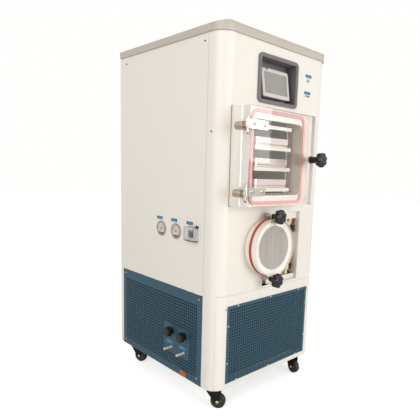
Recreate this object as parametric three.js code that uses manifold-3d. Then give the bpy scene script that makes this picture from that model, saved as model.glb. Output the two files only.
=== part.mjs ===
// Floor-standing shelf freeze dryer: a sheet-steel cabinet on casters with a square vacuum chamber
// behind a thick clear door, and a round cold trap behind a clear disc below it.
// Millimetres, +Z up, the front faces -Y. The origin is on the floor under the middle of the object.
import * as THREE from "three";
import { mergeVertices } from "three/addons/utils/BufferGeometryUtils.js";
import Module from "manifold-3d";

const wasm = await Module();
wasm.setup();

// ---------- driving dimensions ----------
const FIT_GAP = 0.3;            // between pieces that touch
const SHEET = 2;                // cabinet sheet
const FRAME_WALL = 3;           // welded inner frame

const CABINET_WIDTH = 650;
const CABINET_DEPTH = 728;
const CABINET_BOTTOM = 100;     // underside of the base tray above the floor
const CABINET_TOP = 1500;       // underside of the top cap
const CORNER_RADIUS = 60;       // front vertical corners
const SIDE_SEAM = 78;           // front shell's return, from the front face to the side panels
const REAR_RETURN = 25;         // back panel's return round the rear corners
const GRILLE_TOP = 489;         // top edge of the blue side grilles
const COVER_TOP = 497;          // top edge of the removable lower front cover

const CAP_HEIGHT = 38;           // lid: skirts with a hipped roof
const CAP_SIDE_SKIRT = 28;
const CAP_FRONT_SKIRT = 22;
const CAP_SIDE_RUN = 44;         // level length of the side and rear slopes
const CAP_FRONT_RUN = 11;
const CAP_OVERHANG = 7;
const CAP_REAR_INSET = 7;
const CAP_WALL = 2.5;

const FRONT_GRILLE_WIDTH = 522;
const FRONT_GRILLE_BOTTOM = 123;
const FRONT_GRILLE_TOP = 453;
const GRILLE_PLATE = 1.5;

const PANEL_CENTRE_X = -15;     // screen recess
const RECESS_WIDTH = 246;
const RECESS_HEIGHT = 190;
const RECESS_CENTRE_Z = CABINET_TOP - 137;
const RECESS_RIM = 15;          // width of the raised rim
const RECESS_PROUD = 7;
const RECESS_DEPTH = 52;
const RECESS_OPEN_WIDTH = RECESS_WIDTH - 2 * RECESS_RIM;
const RECESS_OPEN_HEIGHT = RECESS_HEIGHT - 2 * RECESS_RIM;
const SCREEN_WIDTH = 165;
const SCREEN_HEIGHT = 114;
const SCREEN_THICK = 22;
const SCREEN_LEAN = 9;          // degrees, top set back
const SCREEN_BACK = 3;          // lower front edge behind the cabinet's front face
const SCREEN_BOTTOM_Z = RECESS_CENTRE_Z - 65;

const LAMP_X = 184;
const LAMP_Z = CABINET_TOP - 100;
const LAMP_DIAMETER = 11;

const CHAMBER_X = -79.5;
const CHAMBER_Z = 1048;
const DOOR_WIDTH = 396;
const DOOR_SHIFT = 6.5;         // door and flange centre, to the right of the opening's centre
const DOOR_HEIGHT = 372;
const DOOR_THICK = 37;
const DOOR_BACK = 60;           // door's back face in front of the cabinet's front face
const OPENING_WIDTH = 294;
const OPENING_HEIGHT = 290;
const OPENING_RADIUS = 24;
const CHAMBER_WALL = 4;
const CHAMBER_LENGTH = 438;     // flange face to back wall
const FLANGE_THICK = 10;
const GASKET_THICK = 6;
const DUCT_DIAMETER = 90;       // vapour duct from chamber to cold trap
const DUCT_Y = -120;

const HINGE_PIN_DIAMETER = 8;
const HINGE_PIN_LENGTH = 57;
const HINGE_EYE_HEIGHT = 16;
const HINGE_RADIUS = 10;
const HINGE_ARM_RADIUS = 15;
const HINGE_ARM_OUT = 46;       // rear end of the arm in front of the cabinet's front face
const HINGE_PIN_X = -205.5;     // from the chamber's centre
const HINGE_PIN_OUT = 100;      // in front of the cabinet's front face
const HINGE_CENTRE_Z = -10;     // middle of the hinge pair from the chamber's centre
const HINGE_Z = 123;            // above and below that middle
const STRAP_LENGTH = 106;
const STRAP_HEIGHT = 33;
const STRAP_RAISE = 5;          // strap centre above the pin's middle
const STRAP_THICK = 6;
const STRAP_BOLTS = [32, 87];   // from the pin

const CLAMP_X = 183;            // door clamp screw, from the chamber's centre
const CLAMP_Z = 4;
const KNOB_DIAMETER = 61;
const KNOB_THICK = 24;
const KNOB_LOBES = 7;
const DOOR_HUB_DIAMETER = 27;
const TRAP_HUB_DIAMETER = 21;
const STUD_DIAMETER = 10;
const STUD_BORE = 13;           // in the chamber's flange, wide enough for the stud to swing out
const STUD_GRIP = 8;             // length of stud in its boss
const DOOR_HUB = 40;             // hub length ahead of the pressure face
const TRAP_HUB = 28;
const WASHER_THICK = 3.5;
const DOOR_WASHER = 33;
const TRAP_WASHER = 38;

const SHELF_COUNT = 4;
const SHELF_WIDTH = 216;
const SHELF_LENGTH = 330;
const SHELF_THICK = 15;
const SHELF_PITCH = 82;
const TOP_SHELF_Z = 1178;       // upper face of the top shelf
const SHELF_SETBACK = 23;       // shelf fronts behind the flange face
const TRAY_HEIGHT = 34;
const TRAY_WIDTH = 202;
const TRAY_LENGTH = 318;
const TRAY_WALL = 2;

const TRAP_X = -56;
const TRAP_Z = 683;
const TRAP_RADIUS = 110;        // barrel, outside
const BARREL_SIDES = 36;
const TRAP_WALL = 4;
const TRAP_LENGTH = 394;
const TRAP_FLANGE_RADIUS = 122;
const TRAP_FLANGE_OUT = 26;     // flange face in front of the cabinet's front face
const TRAP_GASKET_RADIUS = 124;
const TRAP_GASKET_THICK = 12;
const DISC_RADIUS = 120;
const DISC_THICK = 27;
const TRAP_CLAMP_UP = 131;      // clamp screws above and below the trap's axis
const TRAP_CLAMP_DOWN = 137;
const WINDOW_LEFT = -60;        // rectangular window beside the trap
const WINDOW_RIGHT = 178;
const WINDOW_BOTTOM = 506;
const WINDOW_TOP = 822;
const REVEAL_DEPTH = 20;
const SILL_STRIP = 22;           // strips behind the window's lower and upper edges
const HEAD_STRIP = 34;

const GAUGE_DIAMETER = 66;
const GAUGE_PROUD = 5;
const GAUGE_Z = 733;
const GAUGE_Y = [8, -100];
const BREAKER_SETBACK = 72;     // breaker's centre behind the side panel's front edge
const BREAKER_Z = 735;
const BREAKER_WIDTH = 68;
const BREAKER_HEIGHT = 52;
const BREAKER_PROUD = 10;
const TOGGLE_WIDTH = 22;

const VALVE_Y = [-76, -166];
const VALVE_KNOB_Z = 283;
const VALVE_NIPPLE_Z = 208;
const VALVE_KNOB_DIAMETER = 44;
const VALVE_KNOB_START = 9;      // grip ahead of the side sheet
const VALVE_KNOB_END = 32;
const NIPPLE_LENGTH = 40;

const PORT_Y = -163;
const PORT_RADIUS = 34;

const CASTER_X = [-272, 252];
const CASTER_Y = [-297, 300];
const CASTER_TURN = [35, -8, 20, -15]; // degrees each fork has swivelled
const CASTER_TRAIL = 28;
const CASTER_PLATE = 3;
const WHEEL_RADIUS = 32;
const WHEEL_WIDTH = 24;

const COMPRESSOR_X = 170;
const COMPRESSOR_Y = 150;
const COMPRESSOR_RADIUS = 88;
const COMPRESSOR_HEIGHT = 270;
const CONDENSER_X = -40;
const CONDENSER_SETBACK = 20;    // behind the cabinet's front face
const CONDENSER_WIDTH = 340;
const CONDENSER_DEPTH = 60;
const CONDENSER_TOP = 430;
const FAN_Z = 300;
const SHROUD_RADIUS = 124;
const FAN_REACH = 106;           // tip of a blade from the fan's axis

// ---------- derived planes ----------
const HALF_W = CABINET_WIDTH / 2;
const HALF_D = CABINET_DEPTH / 2;
const FRONT = -HALF_D;
const REAR = HALF_D;
const SEAM_Y = FRONT + SIDE_SEAM;
const REAR_SEAM_Y = REAR - REAR_RETURN;
const BREAKER_Y = SEAM_Y + BREAKER_SETBACK;
const PANEL_FOLD = 4;            // depth of the folded edges of a side panel
const FRAME_X = HALF_W - SHEET - 2.5;
const FRAME_REAR = REAR - SHEET - 1.5;

// ---------- materials ----------
const finish = (color, roughness, metalness, extra = {}) =>
  new THREE.MeshStandardMaterial({ color, roughness, metalness, ...extra });
const whitePaint = finish(0xebe6dd, 0.42, 0);
const blueMesh = finish(0x35586a, 0.5, 0.1);
const capPaint = finish(0xcfc8bd, 0.45, 0);
const frameSteel = finish(0x8d9296, 0.55, 0.7);
const stainless = finish(0xb9b4ab, 0.28, 1);
const shelfMetal = finish(0xd9d5cc, 0.35, 0.9);
const blackPlastic = finish(0x17181a, 0.4, 0);
const greyPlastic = finish(0x6d6a6c, 0.5, 0);
const screenPlastic = finish(0xded7d8, 0.45, 0);
const togglePlastic = finish(0x2a2b4a, 0.45, 0);
const greenLens = finish(0x3fbf74, 0.25, 0);
const clear = finish(0xe9eef0, 0.08, 0, { transparent: true, opacity: 0.35 });
const pinkSilicone = finish(0xd79a9a, 0.6, 0);
const redSilicone = finish(0xa8352c, 0.55, 0);
const chrome = finish(0xd7d3cb, 0.15, 1);
const orangePlastic = finish(0xc4682b, 0.5, 0);
const blackRubber = finish(0x202022, 0.8, 0);
const blackEnamel = finish(0x242628, 0.4, 0.2);
const aluminium = finish(0xb4b7b9, 0.4, 0.9);

// ---------- solids ----------
function toSolid(geometry) {
  const g = geometry.index ? geometry.toNonIndexed() : geometry.clone();
  g.deleteAttribute("normal");
  g.deleteAttribute("uv");
  const merged = mergeVertices(g, 1e-4);
  return new wasm.Manifold(
    new wasm.Mesh({
      numProp: 3,
      vertProperties: merged.attributes.position.array,
      triVerts: new Uint32Array(merged.index.array),
    }),
  );
}

function toGeometry(solid) {
  const mesh = solid.getMesh();
  const g = new THREE.BufferGeometry();
  g.setAttribute("position", new THREE.BufferAttribute(new Float32Array(mesh.vertProperties), 3));
  g.setIndex(new THREE.BufferAttribute(new Uint32Array(mesh.triVerts), 1));
  const flat = g.toNonIndexed();
  flat.computeVertexNormals();
  return flat;
}

const join = (...solids) => solids.flat().reduce((all, one) => all.add(one));
const cut = (base, ...tools) => tools.flat().reduce((left, tool) => left.subtract(tool), base);

// A box between two corners.
function box(x0, x1, y0, y1, z0, z1) {
  const g = new THREE.BoxGeometry(Math.abs(x1 - x0), Math.abs(y1 - y0), Math.abs(z1 - z0));
  return toSolid(g.translate((x0 + x1) / 2, (y0 + y1) / 2, (z0 + z1) / 2));
}

// A cylinder from (x, y, z) along one axis; a negative length runs the other way.
function rod(axis, radius, length, x, y, z, sides = 24, farRadius = radius) {
  const g = new THREE.CylinderGeometry(farRadius, radius, Math.abs(length), sides);
  if (length < 0) g.rotateX(Math.PI);
  g.translate(0, length / 2, 0);
  if (axis === "z") g.rotateX(Math.PI / 2);
  if (axis === "x") g.rotateZ(-Math.PI / 2);
  return toSolid(g.translate(x, y, z));
}

function roundedRect(width, height, radius, cx = 0, cy = 0, Kind = THREE.Shape) {
  const s = new Kind();
  const x0 = cx - width / 2;
  const x1 = cx + width / 2;
  const y0 = cy - height / 2;
  const y1 = cy + height / 2;
  s.moveTo(x0 + radius, y0);
  s.lineTo(x1 - radius, y0);
  s.absarc(x1 - radius, y0 + radius, radius, -Math.PI / 2, 0, false);
  s.lineTo(x1, y1 - radius);
  s.absarc(x1 - radius, y1 - radius, radius, 0, Math.PI / 2, false);
  s.lineTo(x0 + radius, y1);
  s.absarc(x0 + radius, y1 - radius, radius, Math.PI / 2, Math.PI, false);
  s.lineTo(x0, y0 + radius);
  s.absarc(x0 + radius, y0 + radius, radius, Math.PI, Math.PI * 1.5, false);
  return s;
}

// A plan shape raised from z0 to z1.
function slab(shape, z0, z1, curveSegments = 3) {
  const g = new THREE.ExtrudeGeometry(shape, { depth: z1 - z0, bevelEnabled: false, curveSegments });
  return toSolid(g.translate(0, 0, z0));
}

// A front-view shape (x across, y up) carried from `out0` to `out1` in front of y = 0.
function facing(shape, out0, out1, curveSegments = 3) {
  const g = new THREE.ExtrudeGeometry(shape, { depth: out1 - out0, bevelEnabled: false, curveSegments });
  g.translate(0, 0, out0);
  g.rotateX(Math.PI / 2);
  return toSolid(g);
}

// A side-view shape (y across, z up) carried from x0 to x1.
function crosswise(shape, x0, x1, curveSegments = 3) {
  const g = new THREE.ExtrudeGeometry(shape, { depth: x1 - x0, bevelEnabled: false, curveSegments });
  g.rotateX(Math.PI / 2);
  g.rotateZ(Math.PI / 2);
  return toSolid(g.translate(x0, 0, 0));
}

// A solid of revolution about z from [radius, height] pairs.
function turned(profile, sides = 28) {
  const points = profile.map(([r, z]) => new THREE.Vector2(r, z));
  const g = new THREE.LatheGeometry(points, sides);
  g.rotateX(Math.PI / 2);
  return toSolid(g);
}

const root = new THREE.Group();

function piece(parent, name, solid, material, x = 0, y = 0, z = 0) {
  const mesh = new THREE.Mesh(toGeometry(solid), material);
  mesh.name = name;
  mesh.position.set(x, y, z);
  parent.add(mesh);
  return mesh;
}

function assembly(x, y, z) {
  const group = new THREE.Group();
  group.position.set(x, y, z);
  root.add(group);
  return group;
}

// ---------- cabinet ----------
// Plan of the bent front sheet, `inset` inside the outer skin; it ends at y = tail.
function frontPlan(inset, tail) {
  const r = CORNER_RADIUS - inset;
  const cx = HALF_W - CORNER_RADIUS;
  const cy = FRONT + CORNER_RADIUS;
  const s = new THREE.Shape();
  s.moveTo(-HALF_W + inset, tail);
  s.lineTo(-HALF_W + inset, cy);
  s.absarc(-cx, cy, r, Math.PI, Math.PI * 1.5, false);
  s.lineTo(cx, FRONT + inset);
  s.absarc(cx, cy, r, -Math.PI / 2, 0, false);
  s.lineTo(HALF_W - inset, tail);
  s.closePath();
  return s;
}

function bentFront(z0, z1, tail) {
  const skin = slab(frontPlan(0, tail), z0, z1, 5);
  return cut(skin, slab(frontPlan(SHEET, tail + 5), z0 - 1, z1 + 1, 5));
}

const COVER_HALF = HALF_W - CORNER_RADIUS * (1 - Math.SQRT1_2);

// Folded returns round the right part of the window, with strips along its head and sill.
function windowReveal() {
  const x0 = TRAP_X + 40;
  const x1 = WINDOW_RIGHT + SHEET;
  const y0 = FRONT + 0.5;
  const y1 = FRONT + REVEAL_DEPTH;
  const z0 = WINDOW_BOTTOM - SHEET;
  const z1 = WINDOW_TOP + SHEET;
  return join(
    box(WINDOW_RIGHT, x1, y0, y1, z0, z1),
    box(x0, x1, y0, y1, z0, WINDOW_BOTTOM),
    box(x0, x1, y0, y1, WINDOW_TOP, z1),
    box(x0, x1, y1 - SHEET, y1, z0, WINDOW_BOTTOM + SILL_STRIP),
    box(x0, x1, y1 - SHEET, y1, WINDOW_TOP - HEAD_STRIP, z1),
  );
}

function frontShell() {
  const shell = bentFront(CABINET_BOTTOM, CABINET_TOP - FIT_GAP, SEAM_Y);
  const returns = [-1, 1].map((side) => box(
    side * (HALF_W - 16), side * (HALF_W - 0.5),
    SEAM_Y - SHEET, SEAM_Y,
    CABINET_BOTTOM + 42, CABINET_TOP - FIT_GAP,
  ));
  const lower = box(-COVER_HALF, COVER_HALF, FRONT - 5, FRONT + CORNER_RADIUS * 0.5, 0, COVER_TOP);
  const screen = facing(roundedRect(RECESS_OPEN_WIDTH + 8, RECESS_OPEN_HEIGHT + 8, 8), -10, 10);
  const chamberHole = facing(roundedRect(DOOR_WIDTH + 3, DOOR_HEIGHT + 9, 4), -10, 10);
  const barrelHole = rod("y", TRAP_RADIUS + 4, 20, TRAP_X, FRONT - 10, TRAP_Z, BARREL_SIDES);
  const windowHole = box(WINDOW_LEFT, WINDOW_RIGHT, FRONT - 10, FRONT + 10, WINDOW_BOTTOM, WINDOW_TOP);
  return join(
    cut(
      join(shell, returns),
      lower,
      screen.translate([PANEL_CENTRE_X, FRONT, RECESS_CENTRE_Z]),
      rod("y", LAMP_DIAMETER / 2 - 1, 20, LAMP_X, FRONT - 10, LAMP_Z, 20),
      chamberHole.translate([CHAMBER_X + DOOR_SHIFT, FRONT, CHAMBER_Z]),
      barrelHole,
      windowHole,
    ),
    windowReveal(),
  );
}

function lowerFrontCover() {
  const gap = 0.6;
  const skin = bentFront(CABINET_BOTTOM + gap, COVER_TOP - gap, FRONT + CORNER_RADIUS);
  const half = COVER_HALF - gap;
  const top = COVER_TOP - gap;
  const middle = box(-half, half, FRONT - 5, FRONT + CORNER_RADIUS * 0.5, 0, COVER_TOP);
  const lip = box(-FRAME_X + 50, FRAME_X - 50, FRONT + 1, FRONT + 14, top - SHEET, top);
  const opening = box(
    -FRONT_GRILLE_WIDTH / 2 + 9, FRONT_GRILLE_WIDTH / 2 - 9,
    FRONT - 5, FRONT + 5,
    FRONT_GRILLE_BOTTOM + 3, FRONT_GRILLE_TOP - 9,
  );
  return cut(join(skin.intersect(middle), lip), opening);
}

// Rows of staggered slots over a field, leaving out those that meet the kept rectangle.
function slots(u0, u1, z0, z1, columns, rows, length, height, keep, make) {
  const list = [];
  const du = (u1 - u0) / columns;
  const dz = (z1 - z0) / rows;
  for (let row = 0; row < rows; row++) {
    const shift = row % 2 ? du / 4 : -du / 4;
    for (let column = 0; column < columns; column++) {
      const u = u0 + du * (column + 0.5) + shift;
      const z = z0 + dz * (row + 0.5);
      const beside = !keep || u + length / 2 <= keep.u0 || u - length / 2 >= keep.u1;
      const blocked = !beside && z > keep.z0 && z < keep.z1;
      if (!blocked) list.push(make(u - length / 2, u + length / 2, z - height / 2, z + height / 2));
    }
  }
  return list;
}

function frontGrille() {
  const plate = box(
    -FRONT_GRILLE_WIDTH / 2, FRONT_GRILLE_WIDTH / 2,
    FRONT - FIT_GAP - GRILLE_PLATE, FRONT - FIT_GAP,
    FRONT_GRILLE_BOTTOM, FRONT_GRILLE_TOP,
  );
  const through = (x0, x1, z0, z1) => box(x0, x1, FRONT - 10, FRONT + 10, z0, z1);
  const half = FRONT_GRILLE_WIDTH / 2 - 16;
  const [low, high] = [FRONT_GRILLE_BOTTOM + 7, FRONT_GRILLE_TOP - 13];
  const holes = slots(-half, half, low, high, 6, 8, 66, 14, null, through);
  return cut(plate, holes);
}

// A side panel in the plane x = side * HALF_W, with its edges folded inwards.
function sidePanel(side) {
  const y0 = SEAM_Y + FIT_GAP;
  const y1 = REAR_SEAM_Y - FIT_GAP;
  const outer = side * HALF_W;
  const inner = side * (HALF_W - SHEET);
  const deep = side * (HALF_W - PANEL_FOLD);
  const profile = new THREE.Shape([
    new THREE.Vector2(outer, y0),
    new THREE.Vector2(outer, y1),
    new THREE.Vector2(deep, y1),
    new THREE.Vector2(deep, y1 - SHEET),
    new THREE.Vector2(inner, y1 - SHEET),
    new THREE.Vector2(inner, y0 + SHEET),
    new THREE.Vector2(deep, y0 + SHEET),
    new THREE.Vector2(deep, y0),
  ]);
  return slab(profile, GRILLE_TOP + 1, CABINET_TOP - FIT_GAP);
}

function leftSidePanel() {
  const panel = sidePanel(-1);
  const gaugeHoles = GAUGE_Y.map((y) =>
    rod("x", GAUGE_DIAMETER / 2 - 3.5, 20, -HALF_W - 10, y, GAUGE_Z, 24));
  const breakerHole = box(
    -HALF_W - 10, -HALF_W + 10,
    BREAKER_Y - BREAKER_WIDTH / 2 + 8, BREAKER_Y + BREAKER_WIDTH / 2 - 8,
    BREAKER_Z - BREAKER_HEIGHT / 2 + 8, BREAKER_Z + BREAKER_HEIGHT / 2 - 8,
  );
  return cut(panel, gaugeHoles, breakerHole);
}

function sideGrille(side, columns, rows, keep, cuts = []) {
  const outer = side * HALF_W;
  const plate = box(
    outer, side * (HALF_W - SHEET),
    SEAM_Y + FIT_GAP, REAR_SEAM_Y - FIT_GAP,
    CABINET_BOTTOM + FIT_GAP, GRILLE_TOP,
  );
  const through = (y0, y1, z0, z1) => box(outer - 8, outer + 8, y0, y1, z0, z1);
  const holes = slots(
    SEAM_Y + 36, REAR_SEAM_Y - 33, CABINET_BOTTOM + 34, GRILLE_TOP - 45,
    columns, rows, 76, 14, keep, through,
  );
  return cut(plate, holes, cuts);
}

function leftGrille() {
  const keep = { u0: -202, u1: -22, z0: 184, z1: 318 };
  const spindleHoles = VALVE_Y.map((y) => rod("x", 6.5, 20, -HALF_W - 10, y, VALVE_KNOB_Z, 16));
  const nippleHoles = VALVE_Y.map((y) => rod("x", 8.5, 20, -HALF_W - 10, y, VALVE_NIPPLE_Z, 16));
  const portNotch = rod("x", PORT_RADIUS - 10, 20, -HALF_W - 10, PORT_Y, CABINET_BOTTOM, 24);
  return sideGrille(-1, 6, 8, keep, [spindleHoles, nippleHoles, portNotch].flat());
}

function backPanel() {
  const z0 = CABINET_BOTTOM + FIT_GAP;
  const z1 = CABINET_TOP - FIT_GAP;
  const outer = box(-HALF_W, HALF_W, REAR_SEAM_Y, REAR, z0, z1);
  const inner = box(-HALF_W + SHEET, HALF_W - SHEET, REAR_SEAM_Y - 5, REAR - SHEET, z0 - 1, z1 + 1);
  const through = (x0, x1, v0, v1) => box(x0, x1, REAR - 8, REAR + 8, v0, v1);
  const vents = slots(-220, 220, 150, 330, 2, 6, 190, 12, null, through);
  const upperVents = slots(-110, 110, CABINET_TOP - 170, CABINET_TOP - 100, 1, 3, 190, 10, null, through);
  return cut(outer, inner, vents, upperVents);
}

// Plan of the cap, `inset` inside its outer skin: round front corners, square rear ones.
function capPlan(inset) {
  const x = HALF_W + CAP_OVERHANG - inset;
  const y = FRONT - CAP_OVERHANG + inset;
  const r = CORNER_RADIUS + CAP_OVERHANG - inset;
  const s = new THREE.Shape();
  s.moveTo(-x, REAR - CAP_REAR_INSET - inset);
  s.lineTo(-x, y + r);
  s.absarc(-x + r, y + r, r, Math.PI, Math.PI * 1.5, false);
  s.lineTo(x - r, y);
  s.absarc(x - r, y + r, r, -Math.PI / 2, 0, false);
  s.lineTo(x, REAR - CAP_REAR_INSET - inset);
  s.closePath();
  return s;
}

// Roof profile from u0 to u1: a skirt and a slope at each end, `inset` inside the outer skin.
function roofProfile(u0, skirt0, run0, u1, skirt1, run1, inset) {
  const low = CABINET_TOP - 10;
  const high = CABINET_TOP + CAP_HEIGHT - inset;
  return new THREE.Shape([
    new THREE.Vector2(u0, low),
    new THREE.Vector2(u1, low),
    new THREE.Vector2(u1, CABINET_TOP + skirt1 - inset),
    new THREE.Vector2(u1 - run1, high),
    new THREE.Vector2(u0 + run0, high),
    new THREE.Vector2(u0, CABINET_TOP + skirt0 - inset),
  ]);
}

function capBlock(inset, floor) {
  const x = HALF_W + CAP_OVERHANG - inset;
  const y0 = FRONT - CAP_OVERHANG + inset;
  const y1 = REAR - CAP_REAR_INSET - inset;
  const across = roofProfile(-x, CAP_SIDE_SKIRT, CAP_SIDE_RUN, x, CAP_SIDE_SKIRT, CAP_SIDE_RUN, inset);
  const along = roofProfile(y0, CAP_FRONT_SKIRT, CAP_FRONT_RUN, y1, CAP_SIDE_SKIRT, CAP_SIDE_RUN, inset);
  return slab(capPlan(inset), floor, CABINET_TOP + CAP_HEIGHT, 5)
    .intersect(facing(across, -CABINET_DEPTH, CABINET_DEPTH))
    .intersect(crosswise(along, -CABINET_WIDTH, CABINET_WIDTH));
}

function topCap() {
  const flange = cut(
    slab(capPlan(1), CABINET_TOP, CABINET_TOP + CAP_WALL, 5),
    box(-HALF_W + 40, HALF_W - 40, FRONT + 60, REAR - 40, CABINET_TOP - 1, CABINET_TOP + 9),
  );
  return join(cut(capBlock(0, CABINET_TOP), capBlock(CAP_WALL, CABINET_TOP - 1)), flange);
}

// ---------- welded inner frame ----------
function angle(x, y, sx, sy, z0, z1) {
  const leg = 30;
  return join(
    box(x, x + sx * leg, y, y + sy * FRAME_WALL, z0, z1),
    box(x, x + sx * FRAME_WALL, y, y + sy * leg, z0, z1),
  );
}

function trayPlan(inset) {
  const s = new THREE.Shape();
  const x = FRAME_X - inset;
  const corner = 58;
  const front = FRONT + SHEET + 2.5 + inset;
  s.moveTo(-x, FRAME_REAR - inset);
  s.lineTo(-x, front + corner);
  s.lineTo(-x + corner, front);
  s.lineTo(x - corner, front);
  s.lineTo(x, front + corner);
  s.lineTo(x, FRAME_REAR - inset);
  s.closePath();
  return s;
}

const DECK_FRONT = SEAM_Y + FIT_GAP + 0.7;
const UPPER_DECK = 846;
const LOWER_DECK = 545;
const FRAME_TOP = CABINET_TOP - 5;

function deck(z) {
  return box(-FRAME_X, FRAME_X, DECK_FRONT, FRAME_REAR, z, z + FRAME_WALL);
}

function chassis() {
  const floor = CABINET_BOTTOM + FRAME_WALL;
  const block = slab(trayPlan(0), CABINET_BOTTOM, CABINET_BOTTOM + 40);
  const tray = cut(block, slab(trayPlan(FRAME_WALL), floor, 200));
  const portClear = box(
    -HALF_W - 10, -FRAME_X + FRAME_WALL + 1,
    PORT_Y - PORT_RADIUS + 6, PORT_Y + PORT_RADIUS - 6,
    floor, CABINET_BOTTOM + 60,
  );
  const posts = [-1, 1].flatMap((side) => [
    angle(side * FRAME_X, FRAME_REAR, -side, -1, CABINET_BOTTOM, FRAME_TOP),
    angle(side * FRAME_X, DECK_FRONT, -side, 1, CABINET_BOTTOM, FRAME_TOP),
  ]);
  const ringTop = cut(
    box(-FRAME_X, FRAME_X, DECK_FRONT, FRAME_REAR, FRAME_TOP - FRAME_WALL, FRAME_TOP),
    box(-FRAME_X + 30, FRAME_X - 30, DECK_FRONT + 30, FRAME_REAR - 30, FRAME_TOP - 9, FRAME_TOP + 9),
  );
  const ductHole = rod("z", DUCT_DIAMETER / 2 + 8, 20, CHAMBER_X, DUCT_Y, UPPER_DECK - 8, 20);
  const upper = cut(deck(UPPER_DECK), ductHole);
  const lower = cut(deck(LOWER_DECK), box(120, 280, 120, 300, LOWER_DECK - 5, LOWER_DECK + 9));
  const chamberUnderside = CHAMBER_Z - OPENING_HEIGHT / 2 - CHAMBER_WALL;
  const bearers = [-230, -30].map((y) =>
    box(CHAMBER_X - 130, CHAMBER_X + 130, y, y + 4, UPPER_DECK + 2, chamberUnderside - FIT_GAP));
  const saddles = [-230, -40].map((y) =>
    cut(
      box(TRAP_X - 90, TRAP_X + 90, y, y + 4, LOWER_DECK + 2, TRAP_Z - 70),
      rod("y", TRAP_RADIUS + FIT_GAP, 40, TRAP_X, y - 20, TRAP_Z, BARREL_SIDES),
    ));
  const mounts = CASTER_Y.flatMap((y) => CASTER_X.map((x) =>
    join(
      box(x - 32, x + 32, y - 32, y + 32, CABINET_BOTTOM - CASTER_PLATE, CABINET_BOTTOM + 1),
      rod("z", 6, -14, x, y, CABINET_BOTTOM - 2, 10),
      rod("z", 10, -3, x, y, CABINET_BOTTOM - 16, 10),
    )));
  return cut(join(tray, posts, ringTop, upper, lower, bearers, saddles, mounts), portClear);
}

// ---------- screen ----------
function screenRecess() {
  const rim = facing(roundedRect(RECESS_WIDTH, RECESS_HEIGHT, 20), FIT_GAP, RECESS_PROUD, 3);
  const w = RECESS_OPEN_WIDTH;
  const h = RECESS_OPEN_HEIGHT;
  const tub = facing(roundedRect(w + 6, h + 6, 7), -RECESS_DEPTH, 2, 1);
  const hollow = facing(roundedRect(w, h, 5), -RECESS_DEPTH + 3, 20, 1);
  const back = facing(roundedRect(RECESS_WIDTH, RECESS_HEIGHT, 1), -RECESS_DEPTH, 0, 1);
  const brackets = [-50, 50].map((x) =>
    box(x - 8, x + 8, SCREEN_THICK + FIT_GAP, RECESS_DEPTH + 20, 40, 70)
      .rotate([-SCREEN_LEAN, 0, 0])
      .translate([0, SCREEN_BACK, SCREEN_BOTTOM_Z - RECESS_CENTRE_Z])
      .intersect(back));
  return join(cut(join(rim, tub), hollow), brackets);
}

// Panel case with a raised bezel, a sunk display and a stiffening rib along its top edge.
function touchScreen() {
  const w = SCREEN_WIDTH;
  const h = SCREEN_HEIGHT;
  const casing = box(-w / 2, w / 2, 0, SCREEN_THICK, 0, h);
  const display = box(-w / 2 + 13, w / 2 - 9, -1, 1.5, 14, h - 11);
  const rib = box(-w / 2 + 38, w / 2 - 4, 1, 9, h - 1, h + 3.5);
  const notch = box(-w / 2 + 26, -w / 2 + 36, -1, 4, h - 4, h + 1);
  return cut(join(casing, rib), display, notch);
}

function indicatorLamp() {
  const r = LAMP_DIAMETER / 2;
  return turned([
    [0, -16], [r - 1.5, -16], [r - 1.5, 0.4], [r + 2.5, 0.4],
    [r + 2.5, 2.4], [r, 2.6], [r * 0.8, 5], [0, 6.8],
  ], 12);
}

// ---------- vacuum chamber ----------
const FLANGE_OUT = DOOR_BACK - GASKET_THICK;
const DOOR_FRONT = DOOR_BACK + DOOR_THICK;
const HINGES = [["upper", HINGE_CENTRE_Z + HINGE_Z], ["lower", HINGE_CENTRE_Z - HINGE_Z]];

// Welded bracket at height z: an arm forward from the flange, and an eye with the hinge pin.
function hingeBracket(z) {
  const x = HINGE_PIN_X;
  const out = HINGE_PIN_OUT;
  const armFront = 84;
  const armX = x - 2;
  const armZ = z - 2;
  const eyeLow = z - HINGE_EYE_HEIGHT / 2;
  const flangeEdge = DOOR_SHIFT - DOOR_WIDTH / 2 + 1;
  return join(
    rod("y", HINGE_ARM_RADIUS, HINGE_ARM_OUT - armFront, armX, -HINGE_ARM_OUT, armZ, 16),
    box(x, flangeEdge, -FLANGE_OUT + 0.5, -HINGE_ARM_OUT, eyeLow, z + 6),
    box(x - 6, x + 6, -out, 4 - armFront, eyeLow, eyeLow + HINGE_EYE_HEIGHT),
    rod("z", HINGE_RADIUS, HINGE_EYE_HEIGHT, x, -out, eyeLow, 16),
    rod("z", HINGE_PIN_DIAMETER / 2, HINGE_PIN_LENGTH, x, -out, z - HINGE_PIN_LENGTH / 2, 12),
  );
}

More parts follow.
